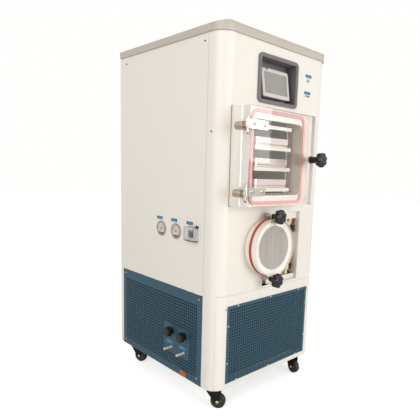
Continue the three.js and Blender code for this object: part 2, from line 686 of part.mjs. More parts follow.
function chamberBody() {
  const w = OPENING_WIDTH;
  const h = OPENING_HEIGHT;
  const outline = roundedRect(DOOR_WIDTH, DOOR_HEIGHT + 6, 3, DOOR_SHIFT);
  const flange = facing(outline, FLANGE_OUT - FLANGE_THICK, FLANGE_OUT, 1);
  const skirt = cut(
    facing(outline, -8, FLANGE_OUT - 1, 1),
    facing(roundedRect(DOOR_WIDTH - 6, DOOR_HEIGHT, 1, DOOR_SHIFT), -9, FLANGE_OUT, 1),
  );
  const wall = CHAMBER_WALL;
  const back = FLANGE_OUT - CHAMBER_LENGTH;
  const tankOutline = roundedRect(w + 2 * wall, h + 2 * wall, OPENING_RADIUS + wall);
  const tank = facing(tankOutline, back, FLANGE_OUT - 1, 3);
  const hollow = facing(roundedRect(w, h, OPENING_RADIUS), back + wall, FLANGE_OUT + 5, 3);
  const ductY = DUCT_Y - FRONT;
  const ductTop = -h / 2 - CHAMBER_WALL + 1;
  const ductEnd = TRAP_Z + TRAP_RADIUS + 6 - CHAMBER_Z;
  const duct = rod("z", DUCT_DIAMETER / 2, ductTop - ductEnd, 0, ductY, ductEnd, 20);
  const bore = rod("z", DUCT_DIAMETER / 2 - 3, ductTop - ductEnd + 30, 0, ductY, ductEnd - 5, 20);
  const stud = rod("y", STUD_BORE / 2, 40, CLAMP_X, -FLANGE_OUT - 5, CLAMP_Z, 12);
  const boss = rod("y", 10, 16, CLAMP_X - 1, -FLANGE_OUT + 2, CLAMP_Z, 12);
  const brackets = HINGES.map(([, z]) => hingeBracket(z));
  return cut(join(flange, skirt, tank, duct, boss, brackets), hollow, bore, stud);
}

function chamberGasket() {
  const w = OPENING_WIDTH + 3;
  const h = DOOR_HEIGHT - 37;
  const outer = facing(roundedRect(w + 24, h + 26, 32), FLANGE_OUT + FIT_GAP, DOOR_BACK - FIT_GAP, 4);
  return cut(outer, facing(roundedRect(w, h, 20), FLANGE_OUT - 5, DOOR_BACK + 5, 4));
}

function chamberDoor() {
  const pane = facing(roundedRect(DOOR_WIDTH, DOOR_HEIGHT, 3, DOOR_SHIFT), DOOR_BACK, DOOR_FRONT, 1);
  const notch = join(
    box(CLAMP_X, DOOR_WIDTH, -200, 0, CLAMP_Z - 7, CLAMP_Z + 7),
    rod("y", 7, -200, CLAMP_X, 0, CLAMP_Z, 16),
  );
  const bolts = HINGES.flatMap(([, z]) =>
    STRAP_BOLTS.map((x) => rod("y", 4.5, -200, HINGE_PIN_X + x, 0, z + STRAP_RAISE, 12)));
  return cut(pane, notch, bolts);
}

// Flat strap with two knuckles on the pin and two through bolts; its origin is the pin's middle.
function hingeStrap() {
  const back = DOOR_FRONT + FIT_GAP - HINGE_PIN_OUT;
  const low = STRAP_RAISE - STRAP_HEIGHT / 2;
  const high = STRAP_RAISE + STRAP_HEIGHT / 2;
  const eye = HINGE_EYE_HEIGHT / 2 + 0.6;
  const plate = box(HINGE_RADIUS + 2, STRAP_LENGTH, -back - STRAP_THICK, -back, low, high);
  const knuckles = [[eye, high], [-eye, low]].map(([z0, z1]) => join(
    rod("z", HINGE_RADIUS - 2, z1 - z0, 0, 0, z0, 14),
    box(0, HINGE_RADIUS + 4, -back - STRAP_THICK, -back, z0, z1),
  ));
  const bolts = STRAP_BOLTS.map((x) => join(
    rod("y", 4, DOOR_THICK + 8, x, -back - 3, STRAP_RAISE, 10),
    rod("y", 7.5, -5, x, -back - STRAP_THICK + 0.5, STRAP_RAISE, 6),
  ));
  return cut(
    join(plate, knuckles, bolts),
    rod("z", HINGE_PIN_DIAMETER / 2 + 0.4, HINGE_PIN_LENGTH + 4, 0, 0, -HINGE_PIN_LENGTH / 2 - 2, 12),
  );
}

// ---------- clamp screws ----------
// Lobed hand knob with hub and stud, turned about y; its origin is the pressure face of the hub.
function clampKnob(hubDiameter, hubLength, studLength) {
  const s = new THREE.Shape();
  const steps = KNOB_LOBES * 5;
  for (let i = 0; i < steps; i++) {
    const a = (i / steps) * Math.PI * 2;
    const r = KNOB_DIAMETER / 2 - 3 + 3 * Math.cos(a * KNOB_LOBES);
    if (i === 0) s.moveTo(r * Math.cos(a), r * Math.sin(a));
    else s.lineTo(r * Math.cos(a), r * Math.sin(a));
  }
  s.closePath();
  const star = facing(s, hubLength, hubLength + KNOB_THICK, 1);
  const hub = rod("y", hubDiameter / 2, -(hubLength + 4), 0, 0, 0, 18);
  const radius = KNOB_DIAMETER / 2;
  const crown = rod("y", radius - 8, -(KNOB_THICK + 3), 0, -hubLength, 0, 16, radius - 12);
  const stud = rod("y", STUD_DIAMETER / 2, studLength + 5, 0, -5, 0, 12);
  return join(star, hub, crown, stud);
}

// Loose washer; its origin is the middle of its rear face.
function washer(inner, outer) {
  return cut(
    rod("y", outer / 2, -WASHER_THICK, 0, 0, 0, 18),
    rod("y", inner / 2, -WASHER_THICK - 4, 0, 2, 0, 14),
  );
}

// ---------- shelves and trays ----------
function shelf() {
  const plate = box(-SHELF_WIDTH / 2, SHELF_WIDTH / 2, 0, SHELF_LENGTH, -SHELF_THICK, 0);
  const stubs = [-70, 70].map((x) => rod("y", 5, 22, x, SHELF_LENGTH - 2, -SHELF_THICK / 2, 12));
  return join(plate, stubs);
}

// Drawn tray: narrower foot below the straight wall, hollow inside.
function tray() {
  const w = TRAY_WIDTH / 2;
  const l = TRAY_LENGTH;
  const wall = join(box(-w, w, 0, l, 9, TRAY_HEIGHT), box(-w + 7, w - 7, 7, l - 7, 0, 10));
  const hollow = join(
    box(-w + TRAY_WALL, w - TRAY_WALL, TRAY_WALL, l - TRAY_WALL, 9 + TRAY_WALL, TRAY_HEIGHT + 5),
    box(-w + 7 + TRAY_WALL, w - 7 - TRAY_WALL, 7 + TRAY_WALL, l - 7 - TRAY_WALL, TRAY_WALL, 15),
  );
  return cut(wall, hollow);
}

// Four posts with ledges under every shelf, tied at the chamber floor. Origin: chamber centre, flange face.
function shelfRack() {
  const floor = -OPENING_HEIGHT / 2 + FIT_GAP;
  const top = TOP_SHELF_Z - CHAMBER_Z + 6;
  const postX = SHELF_WIDTH / 2 + 5.5;
  const postY = [SHELF_SETBACK + 30, SHELF_SETBACK + SHELF_LENGTH - 40];
  const posts = [];
  for (const side of [-1, 1]) {
    for (const y of postY) {
      posts.push(box(side * postX - 4, side * postX + 4, y - 4, y + 4, floor, top));
      for (let i = 0; i < SHELF_COUNT; i++) {
        const z = TOP_SHELF_Z - CHAMBER_Z - i * SHELF_PITCH - SHELF_THICK - FIT_GAP;
        posts.push(box(side * (postX - 16), side * postX, y - 5, y + 5, z - 3, z));
      }
    }
    const [front, back] = postY;
    posts.push(box(side * (postX - 4), side * (postX + 4), front - 4, back + 4, floor, floor + 4));
  }
  const ties = postY.map((y) => box(-postX, postX, y - 4, y + 4, floor, floor + 4));
  return join(posts, ties);
}

// ---------- cold trap ----------
const TRAP_CLAMPS = [["upper", TRAP_CLAMP_UP], ["lower", -TRAP_CLAMP_DOWN]];
const TRAP_LUG_OUT = TRAP_FLANGE_OUT - 4;

function trapBarrel() {
  const flangeOut = TRAP_FLANGE_OUT;
  const shell = rod("y", TRAP_RADIUS, TRAP_LENGTH, 0, -flangeOut, 0, BARREL_SIDES);
  const flange = rod("y", TRAP_FLANGE_RADIUS, flangeOut - FIT_GAP, 0, -flangeOut, 0, BARREL_SIDES);
  const depth = TRAP_LENGTH - TRAP_WALL - 8;
  const hollow = rod("y", TRAP_RADIUS - TRAP_WALL, depth, 0, -flangeOut + 8, 0, BARREL_SIDES);
  const mouth = rod("y", 98, 30, 0, -flangeOut - 5, 0, BARREL_SIDES);
  const lugs = TRAP_CLAMPS.map(([, z]) => join(
    box(-10, 10, -TRAP_LUG_OUT, -4, Math.sign(z) * (TRAP_RADIUS - 4), z),
    rod("y", 10, 4 - TRAP_LUG_OUT, 0, -4, z, 16),
  ));
  const bores = TRAP_CLAMPS.map(([, z]) => rod("y", STUD_DIAMETER / 2 + 0.5, -60, 0, 10, z, 12));
  const ductX = CHAMBER_X - TRAP_X;
  const ductY = DUCT_Y - FRONT;
  const port = cut(
    rod("z", DUCT_DIAMETER / 2 + 8, 14, ductX, ductY, TRAP_RADIUS - 9, 20),
    rod("y", TRAP_RADIUS - 1, 200, 0, ductY - 100, 0, BARREL_SIDES),
  );
  const portBore = rod("z", DUCT_DIAMETER / 2 - 3, 60, ductX, ductY, TRAP_RADIUS - 40, 20);
  return cut(join(shell, flange, lugs, port), hollow, mouth, bores, portBore);
}

// Evaporator coil: a helix about y on the inside of the barrel, with both tails run to the back wall.
class Helix extends THREE.Curve {
  constructor(radius, turns, y0, y1) {
    super();
    Object.assign(this, { radius, turns, y0, y1 });
  }
  getPoint(t, target = new THREE.Vector3()) {
    const a = t * this.turns * Math.PI * 2;
    const y = this.y0 + (this.y1 - this.y0) * t;
    return target.set(this.radius * Math.cos(a), y, this.radius * Math.sin(a));
  }
}

const COIL_TUBE_RADIUS = 5;

function trapCoil() {
  const turns = 4;
  const radius = (TRAP_RADIUS - TRAP_WALL) * Math.cos(Math.PI / BARREL_SIDES) - COIL_TUBE_RADIUS - FIT_GAP;
  const section = new THREE.Shape();
  section.absarc(0, 0, COIL_TUBE_RADIUS, 0, Math.PI * 2, false);
  const g = new THREE.ExtrudeGeometry(section, {
    steps: turns * 12,
    curveSegments: 3,
    bevelEnabled: false,
    extrudePath: new Helix(radius, turns, 30, 300),
  });
  return toSolid(g);
}

function trapGasket() {
  const y0 = -(TRAP_FLANGE_OUT + FIT_GAP);
  const t = TRAP_GASKET_THICK - 2 * FIT_GAP;
  return cut(
    rod("y", TRAP_GASKET_RADIUS, -t, 0, y0, 0, 40),
    rod("y", TRAP_GASKET_RADIUS - 14, -t - 4, 0, y0 + 2, 0, 40),
  );
}

const DISC_BACK = TRAP_FLANGE_OUT + TRAP_GASKET_THICK;

function trapDoor() {
  const bevel = rod("y", DISC_RADIUS, -4, 0, -DISC_BACK - DISC_THICK + 4, 0, 40, DISC_RADIUS - 4);
  const body = join(rod("y", DISC_RADIUS, 4 - DISC_THICK, 0, -DISC_BACK, 0, 40), bevel);
  const notches = TRAP_CLAMPS.map(([, z]) => rod("y", TRAP_HUB_DIAMETER / 2 + 2.5, -200, 0, 0, z, 20));
  return cut(body, notches);
}

// ---------- instruments on the left side (axis of each along z, turned to -x when placed) ----------
function gauge() {
  const r = GAUGE_DIAMETER / 2;
  const body = turned([
    [0, -30], [r - 5, -30], [r - 5, 0.4], [r, 0.4], [r, GAUGE_PROUD - 1.2],
    [r - 1.2, GAUGE_PROUD], [r - 3.5, GAUGE_PROUD], [r - 4.5, GAUGE_PROUD - 1.6], [0, GAUGE_PROUD - 1.6],
  ], 20);
  const stem = rod("z", 6, -24, 0, 0, -28, 12);
  return join(body, stem);
}

const COVER_AXIS_UP = BREAKER_HEIGHT / 2 + 5;
const COVER_AXIS_OUT = 4.5;
const COVER_CLEARANCE = 2.4;     // cover's outside beyond the breaker's rim

function breaker() {
  const w = BREAKER_WIDTH / 2;
  const h = BREAKER_HEIGHT / 2;
  const base = box(-w - 4, w + 4, -h - 4, h + 9, FIT_GAP, 1.5);
  const rim = box(-w, w, -h, h, 1, BREAKER_PROUD);
  const body = box(-w + 9, w - 9, -h + 9, h - 9, -55, 1);
  const sink = box(-w + 5, w - 5, -h + 5, h - 5, BREAKER_PROUD - 6, BREAKER_PROUD + 5);
  const core = box(-w + 12, w - 12, -h + 9, h - 9, 1, BREAKER_PROUD);
  const slot = box(-TOGGLE_WIDTH / 2 - FIT_GAP, TOGGLE_WIDTH / 2 + FIT_GAP, -14, 14, -8, BREAKER_PROUD + 5);
  const ears = [-1, 1].map((side) => box(side * 21, side * 25, h + 3.6, h + 7.5, 1, COVER_AXIS_OUT + 2));
  const pin = rod("x", 1.5, 46, -23, COVER_AXIS_UP, COVER_AXIS_OUT, 12);
  return cut(join(base, cut(rim, sink), core, body, ears, pin), slot);
}

// Rocker lever with its trunnion; origin on its axis, which lies along x of the breaker's frame.
function breakerToggle() {
  const hub = rod("x", 6, TOGGLE_WIDTH, -TOGGLE_WIDTH / 2, 0, 0, 16);
  const lever = box(-10, 10, -6.5, 6.5, 0, 13);
  return join(hub, lever);
}

// Hinged clear cover; origin on its hinge axis above the breaker.
function breakerCover() {
  const w = BREAKER_WIDTH / 2 + COVER_CLEARANCE;
  const h = BREAKER_HEIGHT / 2 + COVER_CLEARANCE;
  const top = h - COVER_AXIS_UP;
  const back = 2 - COVER_AXIS_OUT;
  const front = 19 - COVER_AXIS_OUT;
  const shell = cut(
    box(-w, w, top - 2 * h, top, back, front),
    box(-w + 1.5, w - 1.5, top - 2 * h + 1.5, top - 1.5, back - 3, front - 1.5),
  );
  const barrel = cut(rod("x", 2.4, 40, -20, 0, 0, 14), rod("x", 1.9, 44, -22, 0, 0, 12));
  const web = box(-20, 20, top - 1, -1.9, -1, 1);
  const latch = rod("z", 7, 8, w - 10, top - 9, front - 0.5, 14);
  return join(shell, barrel, web, latch);
}

// Panel valve: block behind the sheet with a spindle and a barbed hose nipple through it.
function panelValve() {
  const drop = VALVE_KNOB_Z - VALVE_NIPPLE_Z;
  const block = box(-13, 13, -drop - 14, 14, -46, -SHEET - FIT_GAP);
  const spindle = rod("z", 5, 20, 0, 0, -6, 14);
  const nipple = turned([
    [0, -6], [7, -6], [7, 6], [5.5, 8], [5.5, 16], [7, 17], [5.2, 23], [6.6, 24], [5, 30],
    [6.2, 31], [4.6, NIPPLE_LENGTH], [0, NIPPLE_LENGTH],
  ], 12);
  return join(block, spindle, nipple.translate([0, -drop, 0]));
}

function valveKnob() {
  const r = VALVE_KNOB_DIAMETER / 2;
  const s = new THREE.Shape();
  const points = 30;
  for (let i = 0; i < points; i++) {
    const a = (i / points) * Math.PI * 2;
    const d = r - 1.6 + 1.6 * Math.cos(a * 5);
    if (i === 0) s.moveTo(d * Math.cos(a), d * Math.sin(a));
    else s.lineTo(d * Math.cos(a), d * Math.sin(a));
  }
  s.closePath();
  const grip = slab(s, VALVE_KNOB_START, VALVE_KNOB_END, 1);
  const collar = rod("z", 11, VALVE_KNOB_START, 0, 0, 1, 14);
  return cut(join(grip, collar), rod("z", 5.4, 17, 0, 0, -1, 14));
}

// Half-round pipe stub behind the notch in the grille's lower edge, on a foot behind the tray's skirt.
const PORT_Z = CABINET_BOTTOM + FIT_GAP;

function vacuumPort() {
  const skirt = -FRAME_X + FRAME_WALL;
  const whole = join(
    rod("x", PORT_RADIUS - 8, 60, -HALF_W + 6, 0, 0, 24),
    box(skirt + FIT_GAP, skirt + 4, -PORT_RADIUS - 6, PORT_RADIUS + 6, 0, PORT_RADIUS),
  );
  const bore = rod("x", PORT_RADIUS - 12, 80, -HALF_W - 5, 0, 0, 24);
  return cut(whole.intersect(box(-HALF_W, 0, -60, 60, FRAME_WALL + FIT_GAP, 80)), bore);
}

function portCap() {
  const face = rod("x", PORT_RADIUS - 5, -5, -HALF_W - FIT_GAP, 0, 0, 28, PORT_RADIUS - 9);
  const plug = rod("x", PORT_RADIUS - 13, 24, -HALF_W - 1, 0, 0, 24);
  return join(face, plug).intersect(box(-HALF_W - 20, 0, -60, 60, FRAME_WALL + 2 * FIT_GAP, 80));
}

// ---------- casters ----------
// Swivel fork; its origin is on the swivel axis at the underside of the top plate.
function casterFork() {
  const race = rod("z", 27, -9, 0, 0, -0.5, 14);
  const crown = box(-19, 19, -CASTER_TRAIL - 6, 22, -13, -8);
  const legs = [-1, 1].map((side) => {
    const s = new THREE.Shape();
    s.moveTo(-CASTER_TRAIL - 9, -WHEEL_AXLE_DROP - 8);
    s.lineTo(-CASTER_TRAIL + 9, -WHEEL_AXLE_DROP - 8);
    s.lineTo(20, -20);
    s.lineTo(20, -9);
    s.lineTo(-CASTER_TRAIL - 9, -9);
    s.closePath();
    const g = new THREE.ExtrudeGeometry(s, { depth: 3, bevelEnabled: false });
    g.rotateX(Math.PI / 2);
    g.rotateZ(Math.PI / 2);
    return toSolid(g.translate(side > 0 ? 16 : -19, 0, 0));
  });
  const axle = rod("x", 4, 46, -23, -CASTER_TRAIL, -WHEEL_AXLE_DROP, 8);
  const kingpinBore = rod("z", 6.5, 30, 0, 0, -16, 10);
  const nutRoom = rod("z", 10.6, 10, 0, 0, -20, 10);
  return cut(join(race, crown, legs, axle), kingpinBore, nutRoom);
}

const WHEEL_AXLE_DROP = CABINET_BOTTOM - CASTER_PLATE - WHEEL_RADIUS;

function casterWheel() {
  const w = WHEEL_WIDTH / 2;
  const r = WHEEL_RADIUS;
  const bevel = 3;
  return turned([
    [4.5, -w], [r - bevel, -w], [r, -w + bevel], [r, w - bevel], [r - bevel, w], [4.5, w], [4.5, -w],
  ], 20);
}

// ---------- refrigeration ----------
function compressor() {
  const r = COMPRESSOR_RADIUS;
  const top = COMPRESSOR_HEIGHT;
  const seam = top / 2 + 3;
  const can = turned([
    [0, 0], [r - 10, 0], [r, 14], [r, seam - 8], [r + 6, seam - 4], [r + 6, seam + 4],
    [r, seam + 8], [r - 2, top - 40], [r - 28, top - 8], [0, top],
  ], 16);
  const feet = box(-110, 110, -80, 80, -12, -8);
  const legs = [[-92, -62], [92, -62], [-92, 62], [92, 62]].map(([x, y]) => rod("z", 9, 10, x, y, -20, 12));
  const pedestal = rod("z", 60, 12, 0, 0, -10, 24);
  return join(can, feet, legs, pedestal);
}

// Finned condenser behind the front grille, with its fan shroud, motor and mounting bar.
function condenser() {
  const half = CONDENSER_WIDTH / 2;
  const deep = CONDENSER_DEPTH;
  const core = box(-half, half, 0, deep, CABINET_BOTTOM + FRAME_WALL + FIT_GAP, CONDENSER_TOP);
  const airway = [];
  for (let i = 0; i < 4; i++) {
    const z = 128 + i * 72;
    airway.push(box(15 - half, half - 15, -5, deep + 20, z, z + 58));
  }
  const tubes = [-80, 80].map((x) => box(x - 4, x + 4, 20, 40, 110, CONDENSER_TOP - 5));
  const shroud = cut(
    rod("y", SHROUD_RADIUS, 46, 0, deep - 2, FAN_Z, 24),
    rod("y", SHROUD_RADIUS - 6, 60, 0, deep - 8, FAN_Z, 24),
  );
  const bar = box(-10, 10, deep + 38, deep + 44, FAN_Z - SHROUD_RADIUS + 2, FAN_Z + SHROUD_RADIUS - 2);
  const motor = rod("y", 30, 36, 0, deep + 40, FAN_Z, 16);
  const shaft = rod("y", 4, -36, 0, deep + 42, FAN_Z, 10);
  return join(cut(core, airway), tubes, shroud, bar, motor, shaft);
}

function fanRotor() {
  const hub = rod("y", 20, 20, 0, -10, 0, 16);
  const blades = [];
  for (let i = 0; i < 5; i++) {
    const blade = new THREE.BoxGeometry(FAN_REACH - 14, 3, 46);
    blade.rotateX(0.5);
    blade.translate(FAN_REACH / 2 + 7, 0, 0);
    blade.rotateY((i / 5) * Math.PI * 2);
    blades.push(toSolid(blade));
  }
  return cut(join(hub, blades), rod("y", 4.6, 60, 0, -30, 0, 12));
}

// ---------- assembly ----------
piece(root, "chassis", chassis(), frameSteel);
piece(root, "front_shell", frontShell(), whitePaint);
piece(root, "lower_front_cover", lowerFrontCover(), whitePaint);
piece(root, "front_grille", frontGrille(), blueMesh);
piece(root, "left_side_panel", leftSidePanel(), whitePaint);
piece(root, "right_side_panel", sidePanel(1), whitePaint);
piece(root, "left_grille", leftGrille(), blueMesh);
piece(root, "right_grille", sideGrille(1, 5, 6, null), blueMesh);
piece(root, "back_panel", backPanel(), whitePaint);
piece(root, "top_cap", topCap(), capPaint);

const screenGroup = assembly(PANEL_CENTRE_X, FRONT, RECESS_CENTRE_Z);
piece(screenGroup, "screen_recess", screenRecess(), greyPlastic);
const leaning = new THREE.Group();
leaning.position.set(0, SCREEN_BACK, SCREEN_BOTTOM_Z - RECESS_CENTRE_Z);
leaning.rotation.x = THREE.MathUtils.degToRad(-SCREEN_LEAN);
screenGroup.add(leaning);
piece(leaning, "touch_screen", touchScreen(), screenPlastic);
const lamp = piece(root, "indicator_lamp", indicatorLamp(), greenLens, LAMP_X, FRONT, LAMP_Z);
lamp.rotation.x = Math.PI / 2;

const chamber = assembly(CHAMBER_X, FRONT, CHAMBER_Z);
piece(chamber, "chamber", chamberBody(), stainless);
piece(chamber, "chamber_gasket", chamberGasket(), pinkSilicone);
piece(chamber, "chamber_door", chamberDoor(), clear);
HINGES.forEach(([which, z]) => {
  piece(chamber, "hinge_strap_" + which, hingeStrap(), chrome, HINGE_PIN_X, -HINGE_PIN_OUT, z);
});
const DOOR_PRESS = DOOR_FRONT + FIT_GAP;
const DOOR_HUB_FACE = DOOR_PRESS + WASHER_THICK + FIT_GAP;
const doorWasher = washer(STUD_DIAMETER + 1, DOOR_WASHER);
const doorKnob = clampKnob(DOOR_HUB_DIAMETER, DOOR_HUB, DOOR_HUB_FACE - (FLANGE_OUT - STUD_GRIP));
piece(chamber, "door_clamp_washer", doorWasher, chrome, CLAMP_X, -DOOR_PRESS, CLAMP_Z);
piece(chamber, "door_clamp_knob", doorKnob, blackPlastic, CLAMP_X, -DOOR_HUB_FACE, CLAMP_Z);
for (let i = 0; i < SHELF_COUNT; i++) {
  const z = TOP_SHELF_Z - CHAMBER_Z - i * SHELF_PITCH;
  piece(chamber, "shelf_" + (i + 1), shelf(), shelfMetal, 0, -FLANGE_OUT + SHELF_SETBACK, z);
  if (i === 0) continue;
  piece(chamber, "tray_" + i, tray(), stainless, -2, -FLANGE_OUT + SHELF_SETBACK + 2, z + FIT_GAP);
}
piece(chamber, "shelf_rack", shelfRack(), stainless, 0, -FLANGE_OUT, 0);

const trap = assembly(TRAP_X, FRONT, TRAP_Z);
piece(trap, "trap_barrel", trapBarrel(), stainless);
piece(trap, "trap_coil", trapCoil(), stainless);
piece(trap, "trap_gasket", trapGasket(), redSilicone);
piece(trap, "trap_door", trapDoor(), clear);
const DISC_FRONT = DISC_BACK + DISC_THICK;
const TRAP_PRESS = DISC_FRONT + FIT_GAP;
const TRAP_HUB_FACE = TRAP_PRESS + WASHER_THICK + FIT_GAP - TRAP_HUB;
TRAP_CLAMPS.forEach(([which, z]) => {
  const knob = clampKnob(TRAP_HUB_DIAMETER, TRAP_HUB, TRAP_HUB_FACE - (TRAP_LUG_OUT - STUD_GRIP));
  const trapWasher = washer(TRAP_HUB_DIAMETER + 1, TRAP_WASHER);
  piece(trap, "trap_washer_" + which, trapWasher, chrome, 0, -TRAP_PRESS, z);
  piece(trap, "trap_knob_" + which, knob, blackPlastic, 0, -TRAP_HUB_FACE, z);
});

function onLeftSide(name, solid, material, y, z, out = 0) {
  const mesh = piece(root, name, solid, material, -HALF_W - out, y, z);
  const right = new THREE.Vector3(0, -1, 0);
  const up = new THREE.Vector3(0, 0, 1);
  const outward = new THREE.Vector3(-1, 0, 0);
  mesh.quaternion.setFromRotationMatrix(new THREE.Matrix4().makeBasis(right, up, outward));
  return mesh;
}
onLeftSide("gauge_rear", gauge(), chrome, GAUGE_Y[0], GAUGE_Z);
onLeftSide("gauge_front", gauge(), chrome, GAUGE_Y[1], GAUGE_Z);
onLeftSide("breaker", breaker(), screenPlastic, BREAKER_Y, BREAKER_Z);
onLeftSide("breaker_toggle", breakerToggle(), togglePlastic, BREAKER_Y, BREAKER_Z, 1);
onLeftSide("breaker_cover", breakerCover(), clear, BREAKER_Y, BREAKER_Z + COVER_AXIS_UP, COVER_AXIS_OUT);
onLeftSide("air_valve", panelValve(), chrome, VALVE_Y[0], VALVE_KNOB_Z);
onLeftSide("air_valve_knob", valveKnob(), blackPlastic, VALVE_Y[0], VALVE_KNOB_Z);
onLeftSide("drain_valve", panelValve(), chrome, VALVE_Y[1], VALVE_KNOB_Z);
onLeftSide("drain_valve_knob", valveKnob(), blackPlastic, VALVE_Y[1], VALVE_KNOB_Z);

CASTER_Y.forEach((y, row) => CASTER_X.forEach((x, column) => {
  const number = row * 2 + column + 1;
  const caster = assembly(x, y, CABINET_BOTTOM - CASTER_PLATE);
  caster.rotation.z = THREE.MathUtils.degToRad(CASTER_TURN[number - 1]);
  piece(caster, "caster_fork_" + number, casterFork(), blackEnamel);
  const wheel = piece(caster, "caster_wheel_" + number, casterWheel(), blackRubber);
  wheel.position.set(0, -CASTER_TRAIL, -WHEEL_AXLE_DROP);
  wheel.rotation.y = Math.PI / 2;
}));

piece(root, "vacuum_port", vacuumPort(), chrome, 0, PORT_Y, PORT_Z);
piece(root, "vacuum_port_cap", portCap(), orangePlastic, 0, PORT_Y, PORT_Z);

piece(root, "compressor", compressor(), blackEnamel,
  COMPRESSOR_X, COMPRESSOR_Y, CABINET_BOTTOM + FRAME_WALL + FIT_GAP + 20);
piece(root, "condenser", condenser(), aluminium, CONDENSER_X, FRONT + CONDENSER_SETBACK, 0);
piece(root, "fan_rotor", fanRotor(), blackPlastic,
  CONDENSER_X, FRONT + CONDENSER_SETBACK + CONDENSER_DEPTH + 20, FAN_Z);

// The floor is z = 0 and the middle of the whole object is x = y = 0.
const model = new THREE.Group();
model.add(root);
model.updateMatrixWorld(true);
const bounds = new THREE.Box3().setFromObject(root);
root.position.set(-(bounds.min.x + bounds.max.x) / 2, -(bounds.min.y + bounds.max.y) / 2, -bounds.min.z);

export default model;
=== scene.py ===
from math import cos, pi, radians, sin

import bmesh
import bpy
from mathutils import Matrix, Vector
from mathutils.geometry import tessellate_polygon


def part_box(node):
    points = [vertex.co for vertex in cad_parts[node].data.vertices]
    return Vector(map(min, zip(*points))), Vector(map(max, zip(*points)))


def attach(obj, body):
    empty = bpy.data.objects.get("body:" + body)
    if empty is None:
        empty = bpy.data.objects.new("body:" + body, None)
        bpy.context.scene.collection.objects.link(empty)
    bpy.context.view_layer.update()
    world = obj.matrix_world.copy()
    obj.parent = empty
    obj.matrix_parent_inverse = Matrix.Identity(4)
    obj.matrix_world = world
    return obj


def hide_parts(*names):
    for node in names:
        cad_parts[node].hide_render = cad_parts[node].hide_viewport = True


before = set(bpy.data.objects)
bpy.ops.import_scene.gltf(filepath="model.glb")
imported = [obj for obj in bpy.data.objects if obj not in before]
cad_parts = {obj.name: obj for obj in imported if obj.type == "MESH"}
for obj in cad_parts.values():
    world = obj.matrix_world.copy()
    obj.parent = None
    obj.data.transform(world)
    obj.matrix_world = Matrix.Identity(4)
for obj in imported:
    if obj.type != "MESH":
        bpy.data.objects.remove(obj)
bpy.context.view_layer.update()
scene = bpy.context.scene
scene.view_settings.view_transform = "Standard"

# ---------- the cabinet's own axes ----------
# The cabinet stands on its centre lines: x to the right, y to the rear, z up from the floor.
# Sizes below are millimetres from those lines, and spot() turns them into the model's metres.
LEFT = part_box("left_side_panel")[0].x
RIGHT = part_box("right_side_panel")[1].x
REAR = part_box("back_panel")[1].y
HALF_WIDTH = (RIGHT - LEFT) * 500
HALF_DEPTH = 364
CENTRE_X = (LEFT + RIGHT) / 2
CENTRE_Y = REAR - HALF_DEPTH / 1000
FRONT = -HALF_DEPTH
SEAM_Y = -285.7  # the joint between a side panel and the front shell
X, Y, Z = Vector((1, 0, 0)), Vector((0, 1, 0)), Vector((0, 0, 1))
UPRIGHT = (X, Y, Z)
# Each face's axes: across it, up it, and out of it.
FRONT_FACING = (X, Z, -Y)
LEFT_FACING = (-Y, Z, -X)
RIGHT_FACING = (Y, Z, X)
REAR_FACING = (-X, Z, Y)


def spot(x, y, z):
    return Vector((CENTRE_X + x / 1000, CENTRE_Y + y / 1000, z / 1000))


def left_spot(y, z):
    """A place on the outside of the left side panel."""
    return spot(-HALF_WIDTH, y, z)


CABINET = spot(0, 0, 0)

# ---------- camera, floor and light ----------
# A pale studio: a matt floor, a white surround, and two large soft lamps, one in front of the
# machine and one at its left. A bright window is seen by gloss alone.
SENSOR, IMAGE = 36, 420
camera = bpy.data.objects.new("camera", bpy.data.cameras.new("camera"))
scene.collection.objects.link(camera)
scene.camera = camera
turn, lift, roll = radians(-44.78), radians(8.14), radians(2.07)
back = Vector((sin(turn) * cos(lift), -cos(turn) * cos(lift), sin(lift)))
level_right = (-back).cross(Z).normalized()
level_up = level_right.cross(-back)
right = cos(roll) * level_right + sin(roll) * level_up
up = -sin(roll) * level_right + cos(roll) * level_up
facing = Matrix((right, up, back)).transposed().to_4x4()
camera.matrix_world = Matrix.Translation(spot(-1398.3, -1564.8, 995.5)) @ facing
camera.data.sensor_width = SENSOR
camera.data.lens = SENSOR * 426.8 / IMAGE
camera.data.shift_x = (IMAGE / 2 - 239.7) / IMAGE
camera.data.shift_y = (232.0 - IMAGE / 2) / IMAGE
camera.data.clip_start = 0.05


def linear(code):
    """sRGB hex code to linear colour."""
    parts = [int(code[i:i + 2], 16) / 255 for i in (1, 3, 5)]
    return tuple(c / 12.92 if c <= 0.04045 else ((c + 0.055) / 1.055) ** 2.4 for c in parts) + (1,)


def add(tree, kind, inputs=None, **settings):
    """Adds a node with its settings; each input takes a value or another node's output."""
    made = tree.nodes.new("ShaderNode" + kind)
    for key, value in settings.items():
        setattr(made, key, value)
    for key, value in (inputs or {}).items():
        if isinstance(value, bpy.types.NodeSocket):
            tree.links.new(value, made.inputs[key])
        else:
            made.inputs[key].default_value = value
    return made


def new_material(name, slot, uniform=None):
    """A material with a Principled shader, the record's slot and the shader's uniform values."""
    made = bpy.data.materials.new(name)
    made["slot"] = slot or ""
    made.use_nodes = True
    tree = made.node_tree
    tree.nodes.clear()
    shader = add(tree, "BsdfPrincipled", uniform)
    output = add(tree, "OutputMaterial", {"Surface": shader.outputs[0]})
    return made, tree, shader, output


def pattern(tree, kind, scale, detail=None, stretch=None):
    """A texture in the piece's own space, at so many features to the metre."""
    where = add(tree, "TexCoord").outputs["Object"]
    if stretch:
        where = add(tree, "Mapping", {"Vector": where, "Scale": stretch}).outputs[0]
    inputs = {"Vector": where, "Scale": scale}
    if detail is not None:
        inputs["Detail"] = detail
    return add(tree, "Tex" + kind, inputs)


